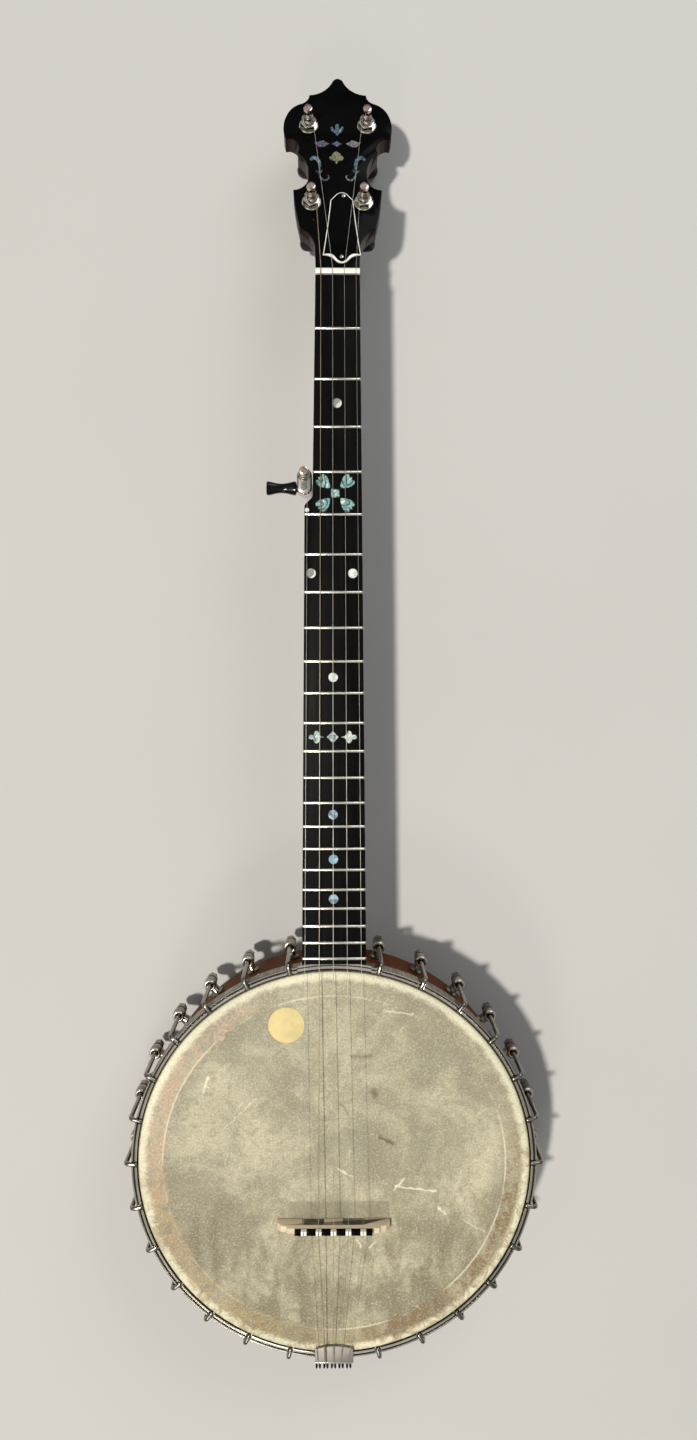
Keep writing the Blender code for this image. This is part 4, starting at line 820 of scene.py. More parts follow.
class StageSettings(bpy.types.PropertyGroup):
    """The camera and the light."""

    focal: FloatProperty(
        name="Focal length", description="For a frame 36 mm high", default=28.25, unit="CAMERA"
    )
    camera_place: FloatVectorProperty(
        name="Camera", description="The camera's place", subtype="TRANSLATION", default=CAMERA_PLACE
    )
    key_power: FloatProperty(name="Key lamp", description="The lamp at the left", default=310.0, unit="POWER")
    fill_power: FloatProperty(
        name="Fill lamp", description="The lamp at the right", default=13.0, unit="POWER"
    )
    low_power: FloatProperty(
        name="Low lamp", description="The small lamp at the tail", default=3.5, unit="POWER"
    )
    sky: FloatProperty(name="Sky", description="Strength of the light from all round", default=0.20)


# The pot


def bracket_angles():
    """The places of the hooks and shoes, in radians from +Y."""
    step = 2 * math.pi / BRACKET_PLACES
    return [side * k * step for k in range(1, BRACKET_PLACES // 2) for side in (-1, 1)]


def bracket_frame(angle):
    """The frame of a bracket place: local +Y points out from the pot."""
    return Matrix.Rotation(-angle, 4, "Z")


def hexagon(radius, bottom, top, edge, bore=0.0):
    """A hex nut or bolt head along Z, with its corners chamfered, and an open bore."""
    levels = [
        (1 - edge / radius, bottom), (1, bottom + edge * 0.6), (1, top - edge * 0.6), (1 - edge / radius, top)
    ]
    shape = lofted([[Vector((x * size, y * size, z)) for x, y in circle(radius, 6)] for size, z in levels])
    if bore:
        shape = carved(shape, prism(circle(bore, 16), bottom - 0.01, top + 0.01))
    return shape


class BANJO_OT_rim(bpy.types.Operator):
    """Makes the laminated wooden rim, rebated for the tone ring."""

    bl_idname = "banjo.rim"
    bl_label = "Rim"

    def execute(self, context):
        steps = context.scene.banjo_sizes.round_steps
        inner, rebate, soft = RIM_RADIUS - RIM_WALL, RIM_RADIUS - TONE_RING_WALL - GAP, 0.002
        low, top = -POT_DEPTH + soft, -TONE_RING_SEAT - GAP
        seat = -TONE_RING_SKIRT - GAP
        profile = arc((inner + soft, low), soft, 180, 270, 5)
        profile += arc((RIM_RADIUS - soft, low), soft, 270, 360, 5)
        profile += [(RIM_RADIUS, seat), (rebate, seat), (rebate, top), (inner, top)]
        shape = turned(profile, steps)
        reach = RIM_RADIUS + RIM_WALL
        bore = along_y(prism(circle(ROD_BORE, 24), -reach, reach))
        shape = carved(shape, moved(bore, at(0, 0, ROD_HEIGHT)))
        piece("rim_shell", shape, "rim_lacquer", POT, stands_for="rim", sharp=40)
        return {"FINISHED"}


class BANJO_OT_tone_ring(bpy.types.Operator):
    """Makes the tone ring's skirt and its rolled edge."""

    bl_idname = "banjo.tone_ring"
    bl_label = "Tone ring"

    def execute(self, context):
        top = -HEAD_THICKNESS - GAP
        bead, wall = (RIM_RADIUS - TONE_RING_BEAD, top - TONE_RING_BEAD), RIM_RADIUS - TONE_RING_WALL
        profile = [(wall, -TONE_RING_SKIRT), (RIM_RADIUS - 0.0003, -TONE_RING_SKIRT)]
        profile += [(RIM_RADIUS, -TONE_RING_SKIRT + 0.0003)] + arc(bead, TONE_RING_BEAD, 0, 180, 12)
        profile += [(RIM_RADIUS - 2 * TONE_RING_BEAD, -TONE_RING_SEAT), (wall, -TONE_RING_SEAT)]
        shape = turned(profile, context.scene.banjo_sizes.round_steps)
        piece("tone_ring_skirt", shape, "nickel_plate", POT, stands_for="tone_ring")
        return {"FINISHED"}


class BANJO_OT_head(bpy.types.Operator):
    """Makes the skin over the tone ring, its flesh hoop and the plain disc on it."""

    bl_idname = "banjo.head"
    bl_label = "Head"

    def execute(self, context):
        sizes = context.scene.banjo_sizes
        centre = (RIM_RADIUS - TONE_RING_BEAD, -HEAD_THICKNESS - GAP - TONE_RING_BEAD)
        over, under = TONE_RING_BEAD + GAP + HEAD_THICKNESS, TONE_RING_BEAD + GAP
        roll = HOOP_BOTTOM - GAP
        profile = [(0, -HEAD_THICKNESS)] + [*reversed(arc(centre, under, 0, 90, 8))]
        profile += [(RIM_RADIUS + GAP, FLESH_HOOP_BOTTOM)]
        belly = ((RIM_RADIUS + GAP + FLESH_HOOP_OUTER) / 2, (FLESH_HOOP_BOTTOM + roll) / 2)
        profile += arc(belly, FLESH_HOOP / 2, -80, 80, 8) + [(HEAD_OUTER, roll)]
        profile += arc(centre, over, 0, 90, 10) + [(r, 0) for r in (0.125, 0.105, 0.080, 0.050, 0.025, 0)]
        shape = turned(profile, sizes.round_steps)
        piece("calfskin_head", shape, "calfskin", POT, stands_for="head", sharp=60)
        disc = prism(circle(sizes.disc_radius, 72), 0.00002, 0.00018)
        place = POT @ at(*DISC_PLACE, 0)
        piece("head_disc", rounded(disc, 0.00006, 2), "paper_disc", place)
        return {"FINISHED"}


class BANJO_OT_tension_hoop(bpy.types.Operator):
    """Makes the grooved and notched tension hoop, lowered where the neck passes."""

    bl_idname = "banjo.tension_hoop"
    bl_label = "Tension hoop"

    def execute(self, context):
        sizes = context.scene.banjo_sizes
        edge = 0.00035
        floor, low = HOOP_TOP - sizes.groove_depth, HOOP_TOP - edge
        lip_in, lip_out = HOOP_INNER + 0.0018, HOOP_OUTER - 0.0012
        profile = [
            (HOOP_INNER, HOOP_BOTTOM), (HOOP_OUTER - edge, HOOP_BOTTOM), (HOOP_OUTER, HOOP_BOTTOM + edge)
        ]
        profile += [
            (HOOP_OUTER, low), (HOOP_OUTER - edge, HOOP_TOP), (lip_out + edge, HOOP_TOP), (lip_out, low)
        ]
        profile += [(lip_out - edge * 0.5, floor), (lip_in + edge * 0.5, floor), (lip_in, low)]
        profile += [(lip_in - edge, HOOP_TOP), (HOOP_INNER + edge, HOOP_TOP), (HOOP_INNER, low)]
        half, near, far = HOOK_RADIUS + 2 * GAP, HOOP_INNER - 0.004, HOOP_OUTER + 0.004
        notches = bmesh.new()
        for angle in bracket_angles():
            corners = [(-half, near), (half, near), (half, far), (-half, far)]
            turned_corners = [bracket_frame(angle) @ Vector((*corner, 0)) for corner in corners]
            prism([(corner.x, corner.y) for corner in turned_corners], HOOP_TOP - HOOP_NOTCH, 0.004, notches)
        half = HOOP_NECK_HALF_WIDTH
        low_stretch = box(-half, half, HOOP_INNER - 0.008, far, HOOP_TOP - HOOP_NECK_DEPTH, 0.004)
        shape = carved(turned(profile, sizes.round_steps), notches, low_stretch)
        piece("grooved_hoop", shape, "hoop_nickel", POT, stands_for="tension_hoop")
        return {"FINISHED"}


class BANJO_OT_brackets(bpy.types.Operator):
    """Makes the hooks with their nuts, the ball shoes that hold them, and the shoe bolts inside the rim."""

    bl_idname = "banjo.brackets"
    bl_label = "Brackets"

    def execute(self, context):
        for number, angle in enumerate(bracket_angles(), start=1):
            place = POT @ bracket_frame(angle)
            hook = f"hook_{number:02d}"
            # the hooks and shoes take darker copies of the nickel, which paint shade onto them
            piece(f"bracket_{hook}", hook_shape(), "hook_nickel_painted_shade", place, stands_for=hook)
            piece(f"ball_shoe_{number:02d}", shoe_shape(), "shoe_nickel_painted_shade", place)
        rings, nuts, bolts = bmesh.new(), bmesh.new(), bmesh.new()
        for angle in bracket_angles():
            inside = at(0, RIM_RADIUS - RIM_WALL, SHOE_MIDDLE)
            turn = bracket_frame(angle)
            added(rings, moved(shoe_ring(), turn))
            added(nuts, moved(hook_nut(), turn))
            added(bolts, moved(shoe_bolt(), turn @ inside @ tilted(90, "X")))
        piece("shoe_rings", rings, "nickel_plate", POT)
        piece("hook_nuts", nuts, "shoe_nickel_painted_shade", POT)
        piece("shoe_bolts", bolts, "bolt_steel", POT)
        return {"FINISHED"}


def hook_shape():
    """A round rod from the hoop's notch, over its bend and down through the shoe into its nut."""
    bend = (HOOK_CIRCLE - HOOK_BEND, HOOK_BAR_HEIGHT - HOOK_BEND)
    path = [(HOOP_INNER - 0.0004 + step, HOOK_BAR_HEIGHT) for step in (0, 0.0004, 0.001, 0.002)]
    path += arc(bend, HOOK_BEND, 90, 0, 8) + [(HOOK_CIRCLE, HOOK_NUT_TOP - HOOK_NUT_LENGTH)]
    radii = [0.0009, 0.0014, HOOK_RADIUS * 1.02] + [HOOK_RADIUS] * 11
    return swept([(0, y, z) for y, z in path], radii, 16)


def hook_nut():
    """A long hex nut with a round flange, on the hook under its shoe."""
    top = HOOK_NUT_TOP
    nut = hexagon(HOOK_NUT_RADIUS, top - HOOK_NUT_LENGTH, top, 0.0006)
    flange = turned(
        [(0, top - 0.0012), (0.0040, top - 0.0012), (0.0042, top - 0.0008), (0.0040, top), (0, top)], 24
    )
    return moved(added(nut, flange), at(0, HOOK_CIRCLE, 0))


def shoe_ring():
    """The bright rolled lip round the top of a shoe."""
    thick = 0.0011
    lip = [(SHOE_NOSE - 0.0014 + thick * math.cos(a), thick * math.sin(a)) for a in ring_angles(12)]
    return moved(turned([(max(r, SHOE_BORE), z) for r, z in lip], 28), at(0, HOOK_CIRCLE, -SHOE_TOP - 0.0009))


# A shoe's foot at its levels: half its width and height, and how far out of the rim it is
SHOE_FOOT = (
    (0.0046, 0.0062, 0), (0.0046, 0.0062, 0.0012), (0.0034, 0.0046, 0.0026), (0.0031, 0.0040, 0.0062)
)


def shoe_shape():
    """A hollow ball on a short flared foot, bored for the hook."""
    half, root = SHOE_HEIGHT / 2, RIM_RADIUS - 0.0002
    ball = [(SHOE_BORE, half - 0.0004)]
    for a in (1.45, 1.2, 0.9, 0.6, 0.3, 0):
        ball.append((between(SHOE_BORE + 0.0007, SHOE_NOSE, math.cos(a)), half * math.sin(a)))
    ball += [(r, -z) for r, z in reversed(ball[:-1])]
    shape = moved(turned(ball, 24), at(0, HOOK_CIRCLE, SHOE_MIDDLE))
    foot = []
    for half_x, half_z, out in SHOE_FOOT:
        foot.append([Vector((p.x, root + out, SHOE_MIDDLE + p.y)) for p in oval(half_x, half_z, 0, 24, 2.3)])
    return added(shape, lofted(foot))


def shoe_bolt():
    """A hex bolt head on its washer, along Z."""
    washer = turned([(0, 0), (0.0058, 0), (0.0058, 0.0007), (0.0055, 0.0009), (0, 0.0009)], 24)
    return added(hexagon(0.0046, 0.0009, 0.0040, 0.0005), washer)


class BANJO_OT_coordinator_rod(bpy.types.Operator):
    """Makes the rod across the pot with its nuts and washers."""

    bl_idname = "banjo.coordinator_rod"
    bl_label = "Coordinator rod"

    def execute(self, context):
        inner, outer = RIM_RADIUS - RIM_WALL - 0.0006, RIM_RADIUS + 2 * GAP + TAIL_SHEET + GAP
        heel_end = RIM_RADIUS + 0.016
        half = [(ROD_BOLT_RADIUS, inner - 0.006), (0.0046, inner - 0.0066), (ROD_RADIUS, inner - 0.0080)]
        profile = [(0, heel_end), (ROD_BOLT_RADIUS, heel_end)] + half + [(r, -z) for r, z in reversed(half)]
        profile += [(ROD_BOLT_RADIUS, -outer), (0, -outer)]
        shape = turned(profile, 32)
        for side in (-1, 1):
            near, far = sorted((side * (inner - 0.0010), side * (inner - 0.0062)))
            added(shape, hexagon(0.0078, near, far, 0.0007))
            near, far = sorted((side * inner, side * (inner - 0.0010)))
            added(shape, turned([(0, near), (0.0090, near), (0.0090, far), (0, far)], 32))
        acorn = [(0, -outer - 0.0070)]
        acorn += [
            (0.0050 * math.sin(a), -outer - 0.0030 - 0.0040 * math.cos(a)) for a in (0.4, 0.8, 1.2, 1.5)
        ]
        acorn += [(0.0050, -outer - 0.0028), (0, -outer - 0.0028)]
        added(shape, turned(acorn, 24), hexagon(0.0060, -outer - 0.0030, -outer, 0.0005))
        place = POT @ at(0, 0, ROD_HEIGHT)
        piece("rod_and_nuts", along_y(shape), "bolt_steel", place, stands_for="coordinator_rod")
        return {"FINISHED"}


# The neck


def treble_edge(y):
    return between(TREBLE_EDGE_AT_END, NUT_MIDDLE + NUT_WIDTH / 2, y / NUT_Y)


def bass_edge(y):
    """The bass side of the neck, which steps in for four strings above the fifth string's nut."""
    low, high = STEP_FRET_Y + STEP_LOW, STEP_FRET_Y + STEP_HIGH
    wide = between(BASS_EDGE_AT_END, BASS_EDGE_BELOW_STEP, y / STEP_FRET_Y)
    above = (y - STEP_FRET_Y) / (NUT_Y - STEP_FRET_Y)
    narrow = between(BASS_EDGE_ABOVE_STEP, NUT_MIDDLE - NUT_WIDTH / 2, above)
    share = min(max((y - low) / (high - low), 0), 1)
    return between(wide, narrow, (1 - math.cos(math.pi * share)) / 2)


def step_stations():
    return [between(STEP_FRET_Y + STEP_LOW, STEP_FRET_Y + STEP_HIGH, i / 12) for i in range(13)]


def space_middle(number):
    """The place along the board half way between a fret and the one before it."""
    return NUT_Y - (fret_distance(number - 1) + fret_distance(number)) / 2


def inlaid(outlines):
    """Flat shapes let into a face, standing a hair proud of it."""
    shape = bmesh.new()
    for outline in outlines:
        prism(outline, INLAY_BOTTOM, INLAY_TOP, shape)
    return shape


def diamond_outline(centre, half_x, half_y):
    corners = [(half_x, 0), (0, half_y), (-half_x, 0), (0, -half_y), (half_x, 0)]
    outline = []
    for (ax, ay), (bx, by) in zip(corners, corners[1:]):
        outline += [
            (centre[0] + between(ax, bx, i / 6), centre[1] + between(ay, by, i / 6)) for i in range(6)
        ]
    return outline


def lobed_outline(point, heading, size, half):
    """A lobed petal. Half its outline runs from its point, as shares of its size along and across."""
    turn = math.radians(heading)
    whole = [*half, *((along, -across) for along, across in reversed(half[1:-1]))]
    ring = [Vector((along * size, across * size, 0)) for along, across in whole]
    curve = smooth_path([ring[-1], *ring, ring[0], ring[1]], 4)[4 : 4 * (len(ring) + 1)]
    cos, sin = math.cos(turn), math.sin(turn)
    return [(point[0] + p.x * cos - p.y * sin, point[1] + p.x * sin + p.y * cos) for p in curve]


# Half outlines of the lobed petals, from the point outward
HEART = ((0, 0), (0.20, 0.19), (0.48, 0.35), (0.78, 0.38), (0.92, 0.25), (0.84, 0.10), (0.97, 0))
CLUB = (
    (0, 0), (0.24, 0.08), (0.38, 0.34), (0.56, 0.40), (0.68, 0.24), (0.72, 0.13), (0.88, 0.15), (1, 0.07),
    (1.01, 0),
)
FAN = (
    (0, 0), (0.18, 0.16), (0.42, 0.42), (0.72, 0.46), (0.74, 0.34), (0.50, 0.22), (0.62, 0.13), (0.92, 0.13),
    (1, 0),
)
SPADE = ((0, 0), (0.24, 0.14), (0.30, 0.40), (0.52, 0.46), (0.66, 0.30), (0.82, 0.24), (0.96, 0.07), (1, 0))


class BANJO_OT_neck(bpy.types.Operator):
    """Makes the neck with its heel, shaft and peghead core, and the truss rod's end in its channel."""

    bl_idname = "banjo.neck"
    bl_label = "Neck"

    def execute(self, context):
        piece("neck_shaft", from_node("neck", 2e-6), "neck_lacquer", stands_for="neck", sharp=38)
        piece("truss_rod_end", from_node("truss_rod"), "bolt_steel", stands_for="truss_rod", sharp=50)
        return {"FINISHED"}


# The dots on the board's side: the fret that each comes before, and its shift from the middle of that space
SIDE_DOTS = ((3, 0), (5, 0), (7, 0), (10, 0), (12, -0.004), (12, 0.004), (15, 0), (17, 0), (19, 0))


class BANJO_OT_fingerboard(bpy.types.Operator):
    """Makes the ebony board with its step, the frets across it, and its pearl inlays."""

    bl_idname = "banjo.fingerboard"
    bl_label = "Fingerboard"

    def execute(self, context):
        sizes = context.scene.banjo_sizes
        outline = [(treble_edge(y), y) for y in (0, NUT_Y)]
        outline += [(bass_edge(y), y) for y in [NUT_Y, *reversed(step_stations()), 0]]
        board = rounded(prism(outline, -BOARD_THICKNESS, 0), 0.0004, 2, 50)
        piece("ebony_board", board, "fingerboard_ebony", NECK, stands_for="fingerboard")
        frets = bmesh.new()
        for number in range(1, FRETS + 1):
            added(frets, fret_shape(NUT_Y - fret_distance(number), sizes.fret_width / 2, sizes.fret_height))
        piece("frets", frets, "fret_wire", NECK, sharp=50)
        for name, finish, outlines in board_inlays(sizes.dot_radius):
            piece(name, inlaid(outlines), finish, NECK)
        spots = bmesh.new()
        for number, shift in SIDE_DOTS:
            y = space_middle(number) + shift
            side = at(bass_edge(y), y, -BOARD_THICKNESS / 2) @ tilted(-90, "Y")
            added(spots, moved(prism(circle(0.0010, 20), INLAY_BOTTOM, 0.00005), side))
        piece("side_dots", spots, "pearl_white", NECK)
        return {"FINISHED"}


def fret_shape(y, half, height):
    """One fret: an oval crown across the board, with its ends sloped down to the board's edges."""
    left, right = bass_edge(y) + 0.0001, treble_edge(y) - 0.0001
    places = [(left, 0.25), (left + 0.0004, 0.80), (left + 0.0010, 1)]
    places += [(right - 0.0010, 1), (right - 0.0004, 0.80), (right, 0.25)]
    angles = [math.radians(a) for a in range(0, 181, 15)]
    sections = []
    for x, share in places:
        crown = [(y + half * math.cos(a), height * share * math.sin(a)) for a in angles]
        sections.append(
            [Vector((x, place, z)) for place, z in crown + [(y - half, -0.0003), (y + half, -0.0003)]]
        )
    return lofted(sections)


def board_inlays(dot):
    """Dots, a flower of four hearts round a square, and two lobed leaves beside a diamond."""
    white = [(3, 0.0016), (7, -0.0165), (7, 0.0128), (10, -0.0010)]
    blue = [(15, -0.0010), (17, -0.0007), (19, -0.0006)]
    dots = [[circle(dot, 36, (x, space_middle(number))) for number, x in group] for group in (white, blue)]
    x, y = 0.0004, space_middle(5)
    flower = []
    for side in (-1, 1):
        for up in (-1, 1):
            heading = math.degrees(math.atan2(0.92 * up, side))
            flower.append(lobed_outline((x + 0.0038 * side, y + 0.0038 * up), heading, 0.0114, HEART))
    reach = 0.0029
    flower.append(
        [(x - reach, y - reach), (x + reach, y - reach), (x + reach, y + reach), (x - reach, y + reach)]
    )
    y = space_middle(12)
    leaves = [lobed_outline((-0.0012 + 0.0060 * side, y), 90 - 90 * side, 0.0108, CLUB) for side in (-1, 1)]
    leaves.append(diamond_outline((-0.0012, y), 0.0041, 0.0042))
    return [
        ("dots_white", "pearl_white", dots[0]),
        ("dots_blue", "pearl_blue", dots[1]),
        ("inlay_flower", "pearl_green", flower),
        ("inlay_leaves", "pearl_pale_green", leaves),
    ]


class BANJO_OT_nuts(bpy.types.Operator):
    """Makes the slotted nut and the fifth string's small round nut."""

    bl_idname = "banjo.nuts"
    bl_label = "Nuts"

    def execute(self, context):
        start, low, left = NUT_Y + GAP, -BOARD_THICKNESS, NUT_MIDDLE - NUT_WIDTH / 2
        section = [
            (start, low), (start, NUT_RISE), (start + 0.0022, NUT_RISE), (start + 0.0034, NUT_RISE - 0.0005)
        ]
        section += [(start + NUT_THICKNESS, NUT_RISE - 0.0014), (start + NUT_THICKNESS, low)]
        shape = rounded(moved(across_x(prism(section, 0, NUT_WIDTH)), at(left, 0, 0)), 0.0003, 2, 50)
        slots = bmesh.new()
        for number in range(4):
            x, reach = nut_string_x(number), STRING_RADII[number] + 0.00012
            box(
                x - reach, x + reach, start - 0.001, start + 0.006, NUT_STRING_HEIGHT - reach, 2 * NUT_RISE,
                slots,
            )
        piece("bone_nut", carved(shape, slots), "polished_bone", NECK, stands_for="nut")
        x, y = pip_place()
        pip = [(0, -0.0035), (PIP_RADIUS, -0.0035), (PIP_RADIUS, 0.0008), (0.0012, PIP_TOP), (0, PIP_TOP)]
        place = NECK @ at(x, y, 0)
        piece("fifth_nut", turned(pip, 24), "polished_bone", place, stands_for="fifth_string_nut")
        return {"FINISHED"}


def pip_place():
    y = STEP_FRET_Y + 0.003
    return bass_edge(y) + 0.0019, y


def bridge_string_x(number):
    return BRIDGE_MIDDLE + (2 - number) * BRIDGE_STRING_STEP


def tail_string_x(number):
    return BRIDGE_MIDDLE + (2 - number) * TAIL_STRING_STEP


def nut_string_x(number):
    return NUT_STRINGS_MIDDLE + (1.5 - number) * NUT_STRING_STEP


# The peghead


def arc_through(first, middle, last, steps):
    """Points on the circle through three points, without the last one."""
    (ax, ay), (bx, by), (cx, cy) = first, middle, last
    d = 2 * (ax * (by - cy) + bx * (cy - ay) + cx * (ay - by))
    ux = ((ax**2 + ay**2) * (by - cy) + (bx**2 + by**2) * (cy - ay) + (cx**2 + cy**2) * (ay - by)) / d
    uy = ((ax**2 + ay**2) * (cx - bx) + (bx**2 + by**2) * (ax - cx) + (cx**2 + cy**2) * (bx - ax)) / d
    a0, a1, a2 = (math.atan2(y - uy, x - ux) for x, y in (first, middle, last))
    turn = (a2 - a0) % (2 * math.pi)
    if (a1 - a0) % (2 * math.pi) > turn:
        turn -= 2 * math.pi
    radius = math.hypot(ax - ux, ay - uy)
    angles = [a0 + turn * i / steps for i in range(steps)]
    return [(ux + radius * math.cos(a), uy + radius * math.sin(a)) for a in angles]


# The treble half of the peghead's outline: where each arc passes and where it ends, from the nut to the tip
PEGHEAD_ARCS = (
    ((0.0157, 0.0080), (0.0160, 0.0150)),
    ((0.0186, 0.0265), (0.0269, 0.0335)),
    ((0.0302, 0.0500), (0.0318, 0.0647)),
    ((0.0245, 0.0676), (0.0211, 0.0770)),
    ((0.0226, 0.0880), (0.0289, 0.0961)),
    ((0.0283, 0.1035), (0.0337, 0.1087)),
    ((0.0360, 0.1090), (0.0380, 0.1086)),
    ((0.0394, 0.1190), (0.0354, 0.1312)),
    ((0.0315, 0.1354), (0.0260, 0.1382)),
    ((0.0223, 0.1410), (0.0208, 0.1454)),
    ((0.0115, 0.1483), (0.0042, 0.1565)),
    ((0.0024, 0.1590), (0.0000, 0.1600)),
)

# The treble half of the truss rod cover, drawn the same way
COVER_ARCS = (
    ((0.0026, 0.0048), (0.0050, 0.0068)),
    ((0.0085, 0.0096), (0.0134, 0.0105)),
    ((0.0104, 0.0330), (0.0081, 0.0550)),
    ((0.0062, 0.0572), (0.0038, 0.0600)),
    ((0.0020, 0.0611), (0.0000, 0.0615)),
)


def mirrored_outline(first, arcs):
    """A symmetric outline from the arcs of its right half."""
    half = []
    for middle, end in arcs:
        half += arc_through(first, middle, end, 8)
        first = end
    return half + [first] + [(-x, y) for x, y in reversed(half)]


def inset_outline(outline, inset):
    """The outline drawn towards its middle, by the inset along each side's normal."""
    drawn = []
    for i, (x, y) in enumerate(outline):
        (ax, ay), (bx, by) = outline[i - 1], outline[(i + 1) % len(outline)]
        far = math.hypot(bx - ax, by - ay)
        drawn.append((x - (by - ay) / far * inset, y + (bx - ax) / far * inset))
    return drawn


def ribbon(points, widths):
    """A flat band along points in x and y, as wide at each as given and pointed where that is nothing."""
    path = [Vector((x, y, 0)) for x, y in points]
    left, right = [], []
    for i, point in enumerate(path):
        run = (path[min(i + 1, len(path) - 1)] - path[max(i - 1, 0)]).normalized()
        side = Vector((-run.y, run.x, 0)) * max(widths[i], 0.00005) / 2
        left.append(tuple((point + side).to_2d()))
        right.append(tuple((point - side).to_2d()))
    return inlaid([left + right[::-1]])


def scroll(points, widest):
    """A band that swells to its widest a third of the way along a smooth curve, then tapers to its end."""
    path = [(p.x, p.y) for p in smooth_path([(*point, 0) for point in points], 7)]
    count = len(path) - 1
    shares = [i / count for i in range(count + 1)]
    widths = [
        widest * (0.30 + 0.70 * math.sin(math.pi * share**0.7)) if share < 0.97 else 0 for share in shares
    ]
    return ribbon(path, widths)


class BANJO_OT_peghead_face(bpy.types.Operator):
    """Makes the black veneer on the peghead, with its pearl flower and its two scrolls."""

    bl_idname = "banjo.peghead_face"
    bl_label = "Peghead's face"

    def execute(self, context):
        outline = mirrored_outline((NUT_WIDTH / 2, 0), PEGHEAD_ARCS)
        face = rounded(prism(outline, -OVERLAY_THICKNESS, 0), 0.00035, 2, 50)
        holes = bmesh.new()
        for x, y in peg_places().values():
            prism(circle(PEG_HOLE_RADIUS + GAP, 32, (x, y)), -0.01, 0.01, holes)
        half, pocket_end = 0.0040 + GAP, NUT_Y + 0.0285 - PEGHEAD_Y
        box(NUT_MIDDLE - half - 0.0020, NUT_MIDDLE + half - 0.0020, 0.0066, pocket_end, -0.01, 0.01, holes)
        face = carved(face, holes)
        piece("peghead_veneer", face, "peghead_black", PEGHEAD, stands_for="peghead_overlay", sharp=30)
        for name, finish, shapes in flower_parts() + scroll_parts():
            piece(name, added(bmesh.new(), *shapes), finish, PEGHEAD)
        return {"FINISHED"}


def flower_parts():
    """A three-fingered fan above, a leaf at each side, a spade below and a diamond between them."""
    leaf = [(-0.0056, 0.0014), (-0.0040, -0.0004), (-0.0022, -0.0026), (0.0006, -0.0029), (0.0032, -0.0016)]
    leaf += [(0.0056, 0.0002), (0.0034, 0.0014), (0.0014, 0.0030), (-0.0010, 0.0024), (-0.0034, 0.0012)]
    leaves = [[(side * (x - 0.0116), 0.1034 + y) for x, y in leaf] for side in (1, -1)]
    fan = lobed_outline((-0.0004, 0.1106), 90, 0.0099, FAN)
    spade = lobed_outline((-0.0008, 0.0864), 90, 0.0108, SPADE)
    diamond = diamond_outline((-0.0005, 0.1034), 0.0037, 0.0023)
    parts = (("top", "blue", fan), ("left", "violet", leaves[0]), ("right", "grey", leaves[1]))
    parts += (("bottom", "gold", spade), ("middle", "violet", diamond))
    return [(f"flower_{name}", f"peghead_pearl_{tint}", [inlaid([outline])]) for name, tint, outline in parts]


def scroll_parts():
    """At each side a broad hook above, a thin stem that ends in a curl, and two small leaves between them."""
    hook = [(0.0190, 0.0890), (0.0188, 0.0906), (0.0168, 0.0917), (0.0144, 0.0901)]
    hook += [(0.0131, 0.0868), (0.0129, 0.0832), (0.0132, 0.0800)]
    stem = [(0.0133, 0.0806), (0.0130, 0.0768), (0.0112, 0.0736), (0.0086, 0.0728)]
    stem += [(0.0066, 0.0742), (0.0062, 0.0762), (0.0074, 0.0768)]
    outer_leaf = [(0.0132, 0.0800), (0.0146, 0.0796), (0.0156, 0.0812)]
    inner_leaf = [(0.0130, 0.0796), (0.0118, 0.0800), (0.0110, 0.0818)]
    parts = []
    for word, side, finish in (("left", -1, "peghead_pearl_violet"), ("right", 1, "peghead_pearl_grey")):
        curves = ((hook, 0.0029), (stem, 0.0014), (outer_leaf, 0.0011), (inner_leaf, 0.0011))
        top, *rest = (scroll([(side * x, y) for x, y in points], widest) for points, widest in curves)
        parts.append((f"scroll_{word}_hook", "peghead_pearl_blue", [top]))
        parts.append((f"scroll_{word}_stem", finish, rest))
    return parts


class BANJO_OT_truss_cover(bpy.types.Operator):
    """Makes the truss rod cover: a white layer that shows as an edge round a black one, and two screws."""

    bl_idname = "banjo.truss_cover"
    bl_label = "Truss rod cover"

    def execute(self, context):
        edge = context.scene.banjo_sizes.cover_edge
        outline = mirrored_outline((0, COVER_BOTTOM), COVER_ARCS)[1:]
        place = PEGHEAD @ at(COVER_MIDDLE, 0, GAP)
        white = rounded(prism(outline, 0, COVER_THICKNESS - 0.0002), 0.0001, 2, 50)
        piece("cover_white_layer", white, "polished_bone", place, stands_for="truss_rod_cover")
        inner = inset_outline(outline, edge)
        risen = [0.0016 * math.exp(-((abs(x) - 0.006) / 0.004) ** 2) if y < 0.011 else 0 for x, y in inner]
        wave = [(x, y + rise) for (x, y), rise in zip(inner, risen)]
        black = rounded(prism(wave, 0.0010, COVER_THICKNESS), 0.0001, 2, 50)
        piece("cover_black_layer", black, "peghead_black", place)
        screws = bmesh.new()
        for x, y in ((0.0012, 0.0586), (-0.0002, 0.0089)):
            head = turned(
                [(0, 0.0013), (0.0015, 0.0013), (0.0014, 0.0016), (0.0008, 0.0019), (0, 0.0020)], 24
            )
            across = box(-0.002, 0.002, -0.0002, 0.0002, 0.0017, 0.004)
            along = box(-0.0002, 0.0002, -0.002, 0.002, 0.0017, 0.004)
            turn = at(x, y, 0) @ Matrix.Rotation(0.5, 4, "Z")
            added(screws, moved(carved(head, across, along), turn))
        piece("cover_screws", screws, "nickel_plate", place)
        return {"FINISHED"}


# The tuning pegs


def peg_places():
    """The four pegs with the string of each, from the bass side: fourth, third, second and first."""
    (high_y, high_x), (low_y, low_x) = UPPER_PEG, LOWER_PEG
    return {4: (-low_x, low_y), 3: (-high_x, high_y), 2: (high_x, high_y), 1: (low_x, low_y)}


